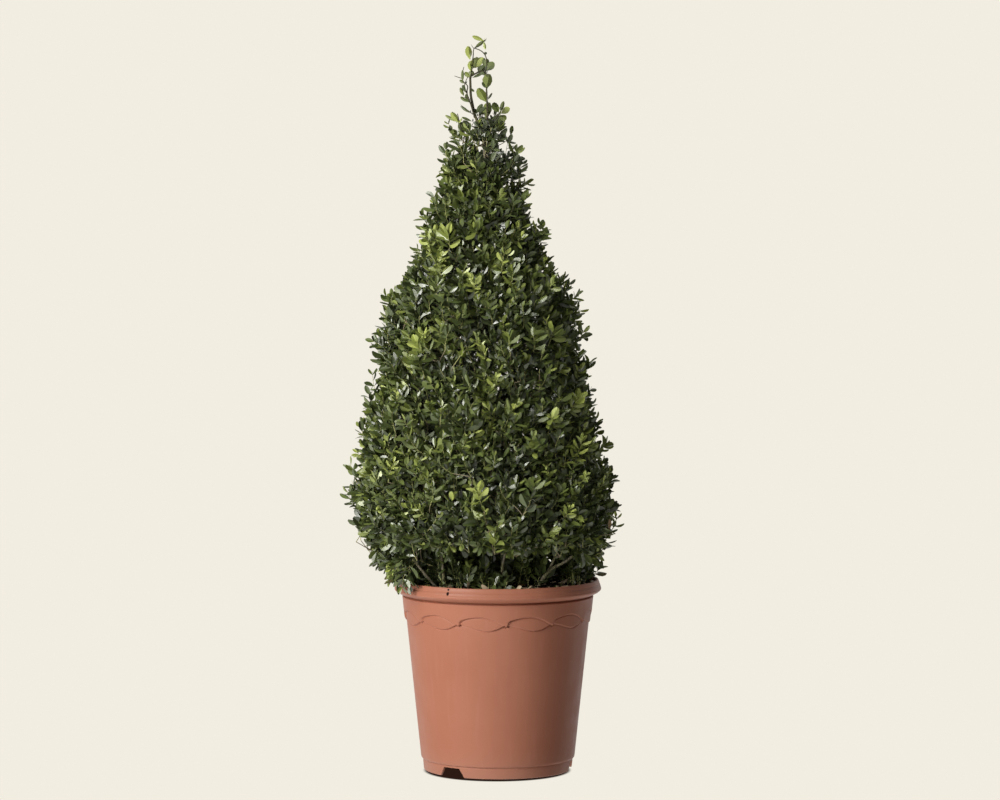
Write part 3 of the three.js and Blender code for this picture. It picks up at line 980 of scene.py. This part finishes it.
def shoot_leaves(shoots, rng):
    """Crosswise pairs of leaves up every shoot, larger in the middle and upright at the tip."""
    share, place, ahead, sideways, grown = leaf_pairs(shoots, rng)
    radial = outward_from_axis(place)
    swell = 0.62 + 0.5 * np.sin(math.pi * np.clip(share, 0.05, 1) ** 1.15)
    groups = []
    for side in (-1, 1):
        opening = np.radians(rng.normal(size=share.shape) * 11 + 56 - 32 * share**2)[..., None]
        along = ahead * np.cos(opening) + side * sideways * np.sin(opening)
        inward = ahead * np.sin(opening) - side * sideways * np.cos(opening)
        facing = inward + 0.25 * radial + 0.25 * UP + 0.40 * rng.normal(size=along.shape)
        length = shoots.length[:, None] * swell * (1 + 0.10 * rng.normal(size=share.shape))
        width = length * LEAF_WIDTH * (1 + 0.09 * rng.normal(size=share.shape))
        fold = rng.uniform(0.2, 1.0, share.shape) * np.where(rng.uniform(size=share.shape) < 0.3, -1, 1)
        curl = rng.uniform(-0.06, 0.30, share.shape)
        tone = aged_tone(shoots.tone[:, None], share, rng)
        kept = grown & (rng.uniform(size=share.shape) <= shoots.fullness[:, None])
        parts = (place, along, facing, length, width, fold, curl, tone)
        groups.append(Leaves(*(part[kept] for part in parts)))
    return joined_leaves(groups)


TONES = list(LEAF_TONES)
TONE_AGES = [-1.47, -0.37, 0.78, 1.63]  # where a spray turns from deep to dark, and so on to bright
YELLOWED = 0.0004  # the share of the leaves that are dying


def deal_tones(depth, place, rng):
    """A tone for each spray: darker deep in the crown, fresher in patches of its face."""
    patch = drift(place, 150 * MM, 41) + 0.6 * drift(place, 50 * MM, 42)
    # Sprays low on the left side and near the top are dealt darker tones.
    old = (1 - smoothstep(340 * MM, 500 * MM, place[:, 2])) * np.clip(-place[:, 0] / (150 * MM), 0, 1)
    old += 1.1 * smoothstep(925 * MM, 990 * MM, place[:, 2])
    age = rng.normal(size=len(place)) * 0.95 + 0.22 * patch - 0.45 * old - depth / (24 * MM)
    return np.searchsorted(TONE_AGES, age)


def aged_tone(tone, share, rng):
    """The spray's tone for each leaf, often a step fresher at its tip and darker at its foot."""
    chance = rng.uniform(size=share.shape)
    younger = 1 * ((share > 0.72) & (chance < 0.45))
    older = 1 * ((share < 0.45) & (chance < 0.35))
    odd = rng.uniform(size=share.shape)
    tone = np.clip(tone + younger - older + (odd < 0.10) - 1 * (odd > 0.80), 0, TONES.index("bright"))
    yellowed = rng.uniform(size=share.shape) < YELLOWED
    return np.where(yellowed, TONES.index("yellowed"), tone)


def arch(points):
    """How high the skirt's hollows reach at each point's azimuth."""
    azimuth = np.degrees(np.arctan2(points[:, 1] - POT_AXIS[1], points[:, 0] - POT_AXIS[0]) - FRONT)
    middle, half_width, height = np.array(HOLLOWS, float).T
    apart = (azimuth[:, None] - middle + 180) % 360 - 180
    return (height * MM * np.exp(-((apart / half_width) ** 6))).max(1)


def outer_shoots(rng):
    """The shoots that make the crown's face."""
    points, outward = crown_surface(FACE_POINTS, rng)
    hidden = points[:, 2] < CROWN_LOW[2] + arch(points)
    kept = ~hidden & (points[:, 2] < LEADER_FOOT + 0.3 * points[:, 0])
    points, outward = points[kept], outward[kept]
    clumps = drift(points, 60 * MM, 31)
    top = smoothstep(*THINNER, points[:, 2])
    spacing = SHOOT_SPACING * (1 + 0.13 * clumps + 0.5 * top)
    kept = thinned(points, spacing)
    points, outward = points[kept], outward[kept]
    count = len(points)
    stray = (rng.uniform(size=count) < STRAYS) & (points[:, 2] > STRAY_FOOT)
    depth = np.where(stray, rng.uniform(-11, 1, count), 8 + 14 * rng.uniform(size=count) ** 1.3) * MM
    depth += np.clip(3.5 * MM * drift(points, 34 * MM, 33), -3 * MM, 7 * MM) - 2 * MM * top[kept]
    return points, outward, depth


def make_shoots(points, outward, depth, rng, length=(30, 48), pairs=(4, 8)):
    """Shoots whose tips lie this deep under points of the crown's face, and their headings."""
    count = len(points)
    tip = points - outward * depth[:, None]
    tip[:, :2] = np.clip(tip[:, :2], CROWN_LOW[:2], CROWN_HIGH[:2])
    under = outward[:, 2] < -0.3
    rise = np.where(under, 0.15, 1.0)[:, None]
    radial = outward_from_axis(points)
    heading = unit(0.75 * outward + rise * UP + 0.4 * under[:, None] * radial
                   + 0.36 * rng.normal(size=(count, 3)))
    reach = rng.uniform(*length, count)[:, None] * MM
    narrow = np.minimum(1, 0.35 + mean_radius(points[:, 2]) / (90 * MM))[:, None]
    base = tip - heading * reach * narrow
    bend = 0.12 * reach * unit(rng.normal(size=(count, 3)) - 0.6 * UP)
    size = LEAF_LENGTH * np.clip(1 + 0.17 * rng.normal(size=count), 0.72, 1.4)
    tone = deal_tones(depth, points, rng)
    number = rng.integers(*pairs, count)
    fullness = rng.uniform(0.84, 1.0, count) * np.where(points[:, 2] > BARER, 0.72, 1)
    return Shoots(base, tip, bend, number, size, tone, fullness, 0.16), heading


def low_shoots(rng):
    """Shoots that rise out of the soil: leafy clumps in a ring, and thinner growth inside it."""
    ringed, inside, sprigs, tufted = 140, 80, 26, 10
    azimuth = FRONT + np.radians(np.concatenate([
        rng.choice(CLUMPS, ringed) + 5 * rng.normal(size=ringed),
        rng.uniform(0, 360, inside),
        rng.choice([-1, 1], sprigs) * rng.uniform(6, 17, sprigs) - 41,
        rng.uniform(-12, 7, tufted),
    ]))
    reach = np.concatenate([
        rng.uniform(0.70, 0.92, ringed), rng.uniform(0.10, 0.52, inside),
        rng.uniform(0.60, 0.88, sprigs), rng.uniform(0.74, 0.86, tufted),
    ])
    radial = level(azimuth)
    base = POT_AXIS + radial * (reach * SOIL_RADIUS)[:, None] + UP * (SOIL_TOP - 4 * MM)
    count = len(base)
    heading = unit(0.25 * radial + UP + 0.28 * rng.normal(size=(count, 3)))
    height = rng.uniform(26, 66, count) * MM
    height[-tufted:] = rng.uniform(17, 30, tufted) * MM
    tip = base + heading * height[:, None]
    bend = 0.12 * height[:, None] * unit(rng.normal(size=(count, 3)))
    size = LEAF_LENGTH * np.clip(1.1 + 0.18 * rng.normal(size=count), 0.8, 1.5)
    size[-sprigs - tufted:-tufted] *= 0.75
    pairs = np.maximum(2, np.round(height / (9 * MM)).astype(int))
    tone = deal_tones(np.full(count, 24 * MM), base, rng)
    return Shoots(base, tip, bend, pairs, size, tone, rng.uniform(0.7, 1.0, count), 0.28)


def hanging_shoots(rng):
    """A few shoots that droop over the rim from the crown's low left side."""
    count = 7
    azimuth = FRONT + np.radians(rng.uniform(-70, -48, count))
    radial = level(azimuth)
    base = POT_AXIS + radial * RIM_RADIUS + UP * (RIM_TOP + rng.uniform(34, 50, (count, 1)) * MM)
    tip = base + radial * rng.uniform(8, 24, (count, 1)) * MM - UP * rng.uniform(30, 46, (count, 1)) * MM
    bend = 5 * MM * (radial + UP)
    size = LEAF_LENGTH * rng.uniform(0.95, 1.25, count)
    tone = rng.integers(TONES.index("dark"), TONES.index("fresh") + 1, count)
    return Shoots(base, tip, bend, np.full(count, 4), size, tone, np.ones(count), 0.2)


OLD_SHARES = (0.62, 0.13, 0.25)  # of the fallen leaves: dry, yellowed and still green


def fallen_leaves(rng):
    """Old leaves lying on the soil, and some that lean on the inside of the rim."""
    lying, leaning = 120, 90
    count = lying + leaning
    base = scattered_on_soil(count, rng, 0.97 * SOIL_RADIUS) + UP * rng.uniform(1, 4, (count, 1)) * MM
    out = unit((base - POT_AXIS)[lying:] * [1, 1, 0])
    base[lying:] = POT_AXIS + out * 148 * MM + UP * (SOIL_TOP + rng.uniform(1, 6, (leaning, 1)) * MM)
    along = rng.normal(size=(count, 3)) * [1, 1, 0.25]
    rise = rng.uniform(0.05, 0.5, (leaning, 1))
    along[lying:] = out * 0.3 + UP * rise + np.cross(out, UP) * rng.normal(size=(leaning, 1))
    facing = UP + 0.5 * rng.normal(size=(count, 3))
    length = LEAF_LENGTH * rng.uniform(0.55, 1.05, count)
    names = rng.choice(["fallen", "yellowed", "dark"], count, p=OLD_SHARES)
    tone = np.array([TONES.index(name) for name in names])
    curl = rng.uniform(-0.3, 0.3, count)
    return Leaves(base, along, facing, length, length * 0.5, rng.uniform(-0.5, 0.7, count), curl, tone)


def add_leaves(leaves):
    """The leaves as pieces of one tone each, cut into pieces of a limited size by height."""
    first = True
    for index, (tone, (colour, roughness)) in enumerate(LEAF_TONES.items()):
        finish = leaf_finish("leaf_" + tone, colour, roughness)
        chosen = np.flatnonzero(leaves.tone == index)
        chosen = chosen[np.argsort(leaves.base[chosen, 2], kind="stable")]
        pieces = max(1, math.ceil(len(chosen) / PIECE_LEAVES))
        for k, share in enumerate(np.array_split(chosen, pieces)):
            points, faces = leaves.mesh(share)
            piece = mesh_object(f"leaves_{tone}_{k + 1}", points, faces, finish=finish)
            crease(piece)
            on_plant(piece, "leaves", *(("crown", "tuft_leader", "tuft_second_leader") if first else ()))
            first = False


# ---- The leader's loose tip ----

# The thin stems beyond the trunk: points [across, up] in millimetres from its end, and the radii at
# the stem's foot and tip
LEADER_STEMS = [
    ([(0, -6), (3, 13), (4, 24), (5, 34), (6, 43), (14, 47), (23, 56)], 1.1, 0.5),
    ([(27, -40), (26, -20), (27, -6), (25, 6), (26, 16), (25, 30), (18, 39), (6, 44)], 1.2, 0.7),
    ([(3, 1), (18, 8), (25, 6)], 1.3, 1.0),
    ([(7, -66), (2, -48), (-5, -28), (-4, -16), (-11, -9), (-13, 2), (-10, 14)], 1.3, 0.5),
    ([(-6, -27), (-9, -16), (-6, -6), (-2, 2)], 1.0, 0.5),
    ([(-13, -4), (-25, 0)], 0.7, 0.4),
    ([(6, -62), (-15, -46)], 0.8, 0.3),
    ([(-2, -36), (-15, -33)], 0.7, 0.3),
    ([(32, -90), (38, -72), (46, -60), (52, -50)], 1.4, 0.7),
    ([(-6, -98), (-14, -84), (-18, -69), (-20, -60)], 1.3, 0.6),
    ([(9, -104), (12, -84), (17, -70), (22, -58)], 1.2, 0.6),
    ([(24, -108), (29, -92), (38, -82), (45, -74)], 1.2, 0.6),
    ([(-12, -108), (-9, -94), (-11, -80)], 1.1, 0.5),
]

# Its leaves: each stalk and tip as [across, up] in millimetres from the trunk's end, the width and
# the tone
LEADER_LEAVES = [
    ((22, 55), (3, 63), 7, "bright"),
    ((22, 54), (24, 41), 5, "bright"),
    ((6, 43), (24, 56), 6, "middle"),
    ((-1, 26), (-2, 48), 12, "bright"),
    ((24, 33), (25, 38), 5, "deep"),
    ((4, 12), (21, 29), 13, "fresh"),
    ((25, 0), (13, 17), 12, "dark"),
    ((10, 13), (21, 30), 9, "bright"),
    ((25, 8), (38, 22), 13, "middle"),
    ((26, 11), (27, 28), 10, "middle"),
    ((21, 16), (23, 29), 6, "middle"),
    ((1, 7), (2, 25), 12, "bright"),
    ((1, -2), (-9, 6), 8, "fresh"),
    ((-2, -2), (5, 8), 10, "middle"),
    ((3, -3), (21, 5), 5, "dark"),
    ((26, -21), (30, 4), 18, "fresh"),
    ((26, -42), (13, -18), 16, "fresh"),
    ((27, -20), (18, -10), 6, "dark"),
    ((28, -38), (36, -27), 4, "dark"),
    ((1, -19), (7, -25), 5, "dark"),
    ((-12, -10), (-12, 10), 5, "middle"),
    ((-8, -12), (-17, -6), 5, "middle"),
    ((-10, -32), (-16, -18), 6, "fresh"),
    ((-8, -26), (-12, -14), 6, "dark"),
    ((-2, -42), (-6, -28), 7, "dark"),
    ((-2, -42), (-16, -34), 5, "middle"),
    ((0, -59), (-16, -47), 5, "dark"),
    ((9, -60), (20, -44), 8, "dark"),
    ((13, -63), (25, -50), 11, "dark"),
    ((25, -68), (31, -41), 17, "fresh"),
    ((45, -58), (36, -42), 14, "middle"),
    ((48, -57), (54, -40), 7, "middle"),
    ((49, -60), (63, -50), 11, "bright"),
    ((48, -62), (57, -70), 11, "fresh"),
    ((47, -64), (51, -78), 10, "middle"),
    ((-18, -74), (-29, -56), 11, "bright"),
    ((-19, -73), (-40, -61), 6, "fresh"),
    ((-19, -72), (-5, -87), 16, "middle"),
    ((-12, -98), (-30, -88), 11, "middle"),
    ((3, -72), (-13, -64), 5, "middle"),
    ((2, -78), (-12, -70), 7, "dark"),
    ((10, -79), (26, -66), 12, "dark"),
    ((22, -81), (36, -68), 12, "dark"),
    ((30, -85), (47, -71), 11, "dark"),
    ((40, -89), (52, -77), 10, "middle"),
    ((46, -98), (58, -86), 10, "dark"),
    ((8, -92), (22, -82), 11, "dark"),
    ((-2, -90), (-12, -77), 10, "middle"),
    ((15, -99), (30, -91), 12, "dark"),
    ((2, -95), (-7, -82), 8, "dark"),
    ((2, 13), (12, 29), 12, "bright"),
    ((7, 18), (12, 30), 8, "fresh"),
    ((14, 5), (24, 17), 10, "dark"),
]


LEADER_FACING = (0.42, -1.0, 0.10)  # the way that their upper sides look: to the front and its right


def leader_frame():
    """The trunk's end, from which the tip's stems and leaves are placed."""
    centres, _ = limb_axis("trunk", 60)
    return centres[-1] + UP * LIMB_END


def sway(up):
    """How far the tip's stems stand towards the back at each height."""
    return 5 * MM * np.sin(up / (17 * MM) + 1)


def leader_stems(start):
    """The tubes of the tip's thin stems."""
    tubes = []
    for places, foot, end in LEADER_STEMS:
        across, up = np.array(places, float).T * MM
        radii = np.linspace(foot, end, len(up)) * MM
        centres = start + np.stack([across, sway(up), up], -1)
        tubes.append(tube(*smooth_route(centres, radii, 4 * MM), 6))
    return join(tubes)


def leader_leaves(start, rng):
    """The tip's leaves, each with a partner across its stem that points to the front or the back."""
    stalks, tips, widths, tones = zip(*LEADER_LEAVES)
    stalk = np.array(stalks, float) * MM
    way = np.array(tips, float) * MM - stalk
    width = np.array(widths, float) * MM
    tone = np.array([TONES.index(name) for name in tones])
    count = len(stalk)
    base = start + np.stack([stalk[:, 0], sway(stalk[:, 1]), stalk[:, 1]], -1)
    length = np.linalg.norm(way, axis=1)
    along = np.stack([way[:, 0], rng.uniform(-0.25, 0.15, count) * length, way[:, 1]], -1)
    facing = LEADER_FACING + 0.12 * rng.normal(size=(count, 3))
    side = rng.choice([-1, 1], count)
    partner = np.stack([-0.3 * way[:, 0], side * length, 0.5 * np.abs(way[:, 1]) + 2 * MM], -1)
    sideways = rng.choice([-1, 1], count)[:, None] * np.array([1.0, 0.0, 0.0])
    partner_facing = sideways + 0.4 * UP + 0.2 * rng.normal(size=(count, 3))
    both = (np.concatenate(pair) for pair in (
        (base, base), (along, partner), (facing, partner_facing),
        (length, 0.8 * length), (width, 0.8 * width)))
    return Leaves(*both, rng.uniform(0.1, 0.5, 2 * count), rng.uniform(-0.05, 0.18, 2 * count),
                  np.tile(tone, 2))


# ---- The whole plant ----

# How far out each bough is carried on, as a share of the crown's radius, and to what height
BOUGHS = {
    "bough_left_outer": (0.72, 0.62),
    "bough_left_inner": (0.45, 0.86),
    "bough_front": (0.55, 0.80),
    "bough_right": (0.74, 0.60),
    "bough_right_fork": (0.50, 0.84),
    "bough_back_right": (0.60, 0.76),
    "bough_back": (0.68, 0.68),
    "bough_back_left": (0.58, 0.82),
    "bough_second_leader": None,  # it ends where its solid does
}


def add_limbs(finish, rng):
    """The trunk and the boughs, and root points along them for the twigs."""
    centres, radii = limb_axis("trunk", 60)
    add_limb("trunk", centres, radii, 1.6 * MM, finish, 11)
    above = centres[:, 2] > CROWN_LOW[2] + 40 * MM
    roots, limits = [centres[above]], [radii[above]]
    for seed, (node, reach) in enumerate(BOUGHS.items()):
        centres, radii = limb_axis(node, 12)
        first = 0
        if reach:
            more, thinner = carried_on(centres, radii, *reach, rng)
            first = len(centres) - 2
            centres, radii = np.concatenate([centres, more]), np.concatenate([radii, thinner])
        roots.append(centres[first:])
        limits.append(radii[first:])
        add_limb(node, centres, radii, 2.2 * MM, finish, 21 + seed)
    return np.concatenate(roots), np.concatenate(limits)


def guide_points(count, rng):
    """Points spread through the crown, well inside its face."""
    share = rng.uniform(0, 1, count) ** 0.5
    weights = MEAN_RADII**2
    z = rng.choice(RADII_AT, count, p=weights / weights.sum()) + rng.uniform(-5, 5, count) * MM
    azimuth = rng.uniform(0, TURN, count)
    face = np.array([crown_radius(a, h) for a, h in zip(azimuth, z)])
    radius = share * np.maximum(face - 34 * MM, 0)
    points = radius[:, None] * level(azimuth) + UP * z[:, None]
    return points[(face > 30 * MM) & (z > CROWN_LOW[2] + 55 * MM)]


def shade_shoots(points, outward, depth, share, deeper, rng):
    """A share of the face's shoots again, deeper in the crown, where only the shade leaves grow."""
    low = np.flatnonzero(points[:, 2] < SHADE_TOP)
    some = rng.permutation(low)[: int(share * len(low))]
    moved = points[some] + 5 * MM * rng.normal(size=(len(some), 3))
    room = 0.75 * mean_radius(moved[:, 2])
    further = np.minimum(depth[some] + rng.uniform(*deeper, len(some)) * MM, room)
    return make_shoots(moved, outward[some], further, rng, (22, 34), (3, 5))


def add_stems(name, stems, finish):
    """Thin stems, as one piece."""
    on_plant(mesh_object(name, *stems, finish=finish), "bark")


def add_twigs(roots, limits, shoots, headings, rng):
    """The woody twigs from the limbs out to every shoot."""
    guides = guide_points(GUIDES, rng)
    targets = np.concatenate([guides] + [group.base for group in shoots])
    heading = np.concatenate([unit(0.7 * outward_from_axis(guides) + 0.8 * UP)] + headings)
    load = np.ones(len(targets))
    load[:len(guides)] = GUIDE_LOAD
    order, parents = grow(roots, targets, heading)
    chains, carried = branch_chains(len(roots), order, parents, load)
    widest = np.concatenate([0.7 * limits, np.full(len(targets), np.inf)])
    twigs = twig_mesh(np.concatenate([roots, targets]), chains, carried, widest)
    add_stems("twigs_woody", twigs, twig_finish("twig_woody", (0.25, 0.21, 0.13)))


def add_plant():
    """The limbs, the twigs that join them to every shoot, and the leaves."""
    rng = np.random.default_rng(SEED)
    roots, limits = add_limbs(boxwood_bark(), rng)
    points, outward, depth = outer_shoots(rng)
    face, face_heading = make_shoots(points, outward, depth, rng)
    inner, inner_heading = shade_shoots(points, outward, depth, 0.36, (20, 34), rng)
    deep, deep_heading = shade_shoots(points, outward, depth, 0.22, (48, 80), rng)
    grown = [face, inner, deep]
    add_twigs(roots, limits, grown, [face_heading, inner_heading, deep_heading], rng)
    grown += [low_shoots(rng), hanging_shoots(rng)]
    stems = join([shoot_stems(shoots) for shoots in grown])
    add_stems("twigs_green", stems, twig_finish("twig_green", (0.36, 0.36, 0.14)))
    start = leader_frame()
    add_stems("twigs_leader", leader_stems(start), twig_finish("twig_young", YOUNG_BARK))
    leaves = [clear_of_pot(shoot_leaves(shoots, rng)) for shoots in grown]
    add_leaves(joined_leaves(leaves + [leader_leaves(start, rng), fallen_leaves(rng)]))


# ---- Studio ----

CREAM = (0.888, 0.847, 0.753)
DAYLIGHT = (1.0, 0.985, 0.96)
FILL = 0.055  # light from the front half of the room, as a share of white
BACKDROP = 0.80  # light from the paler wall behind the plant
FLOOR_GLOW = 1.40  # more light from below, off the pale floor on the lit side
LIT_SIDE = (-0.72, -0.69, 0.0)  # level, towards the key light
CONTACT_SHADE = (0.024, 0.011, 0.007)  # the floor under the pot and in the thin shadow round its foot
SHADE_CENTRE = POT_AXIS - np.array([1, 20, 0]) * MM
SHADE_RADII = 111.5 * MM, 120 * MM  # full within the first, gone beyond the second
FLOOR_LEVEL = -0.4 * MM  # a little below the pot, so that the two don't share a plane
LENS = 124.47  # millimetres, before a sensor 36 wide
CAMERA_PLACE = (0.0304, -5.5, 0.872)
CAMERA_TILT = math.radians(2.94)  # downwards


def add_surroundings():
    """A plain cream studio that the lens sees, and a dimmer one that lights the plant."""
    world = bpy.data.worlds.new("studio")
    bpy.context.scene.world = world
    studio = Nodes(world)
    studio.tree.nodes.clear()
    way = studio.add("TexCoord").outputs["Generated"]
    axes = studio.add("SeparateXYZ", {"Vector": way}).outputs
    paler = studio.ranged(axes["Y"], 0.0, 0.9, FILL, BACKDROP, "SMOOTHSTEP")
    below = studio.ranged(axes["Z"], -0.1, -0.7, 0, FLOOR_GLOW)
    facing = studio.add("VectorMath", {0: way, 1: LIT_SIDE}, operation="DOT_PRODUCT").outputs["Value"]
    glow = studio.worked_out("MULTIPLY", below, studio.ranged(facing, -0.5, 0.6, 0.12, 1.0))
    strength = studio.worked_out("ADD", paler, glow)
    fill = studio.add("Background", {"Color": DAYLIGHT, "Strength": strength}).outputs["Background"]
    seen = studio.add("Background", {"Color": CREAM}).outputs["Background"]
    by_lens = studio.add("LightPath").outputs["Is Camera Ray"]
    studio.add("OutputWorld", {"Surface": studio.mixed_shader(by_lens, fill, seen)})


def floor_finish():
    """The surroundings' own cream, and the dark of the pot's shadow close round its foot."""
    material = bpy.data.materials.new("studio_floor")
    floor = Nodes(material)
    floor.tree.nodes.clear()
    distance = floor.apart(floor.add("TexCoord").outputs["Object"], SHADE_CENTRE)
    shaded = floor.ranged(distance, *SHADE_RADII, 1.0, 0.0, "SMOOTHSTEP")
    plain, dark = (floor.add("Emission", {"Color": c}).outputs["Emission"] for c in (CREAM, CONTACT_SHADE))
    floor.add("OutputMaterial", {"Surface": floor.mixed_shader(shaded, plain, dark)})
    return material


def add_floor():
    """A floor that melts into the surroundings, and under the pot a patch that only light meets."""
    radii = np.concatenate([[0.02, 0.08], np.linspace(0.11, 0.5, 30), [1.0, 3.0, 9.0, 30.0]])
    rings = lathe(radii[:, None], np.full((len(radii), 1), FLOOR_LEVEL), 96)
    rows, columns = rings.shape[:2]
    hub = [POT_AXIS + UP * FLOOR_LEVEL]
    quads = grid_faces(rows, columns)[:, ::-1]
    middle = fan_faces(0, columns, rows * columns)
    finish = floor_finish()
    floor = mesh_object("studio_floor", np.concatenate([*rings, hub]), quads, middle, finish=finish)
    floor.visible_diffuse = False
    floor.visible_glossy = False
    under = np.concatenate([rings[2], hub]) + 0.2 * MM * UP
    patch = mesh_object("studio_patch", under, fan_faces(0, columns, columns), finish=finish)
    patch.visible_camera = False


def soft_light(name, azimuth, elevation, distance, size, power):
    """An oblong area light aimed at the plant's middle; azimuth in degrees, + to the right of the front."""
    turn, lift = FRONT + math.radians(azimuth), math.radians(elevation)
    middle = Vector((POT_AXIS[0], POT_AXIS[1], 0.55))
    away = Vector((math.cos(turn) * math.cos(lift), math.sin(turn) * math.cos(lift), math.sin(lift)))
    data = bpy.data.lights.new(name, "AREA")
    data.shape = "RECTANGLE"
    data.size, data.size_y = size
    data.energy = power
    data.color = DAYLIGHT
    light = bpy.data.objects.new(name, data)
    light.location = middle + away * distance
    light.rotation_euler = (-away).to_track_quat("-Z", "Y").to_euler()
    light.visible_camera = False
    bpy.context.scene.collection.objects.link(light)


def add_camera():
    """A long lens before the front, a little above the plant's middle and looking down."""
    data = bpy.data.cameras.new("camera")
    data.sensor_width = 36
    data.lens = LENS
    data.clip_end = 100
    camera = bpy.data.objects.new("camera", data)
    camera.location = CAMERA_PLACE
    camera.rotation_euler = (TURN / 4 - CAMERA_TILT, 0, 0)
    bpy.context.scene.collection.objects.link(camera)
    bpy.context.scene.camera = camera


add_camera()
add_surroundings()
add_floor()
soft_light("key", azimuth=-46, elevation=20, distance=3.4, size=(1.3, 2.4), power=136)
soft_light("fill", azimuth=6, elevation=2, distance=4.5, size=(4.0, 3.0), power=21)
plastic = terracotta_plastic()
add_pot_wall(plastic)
add_pot_base(plastic)
add_soil(potting_soil(), np.random.default_rng(SEED + 1))
add_plant()
bpy.context.scene.view_settings.view_transform = "Standard"
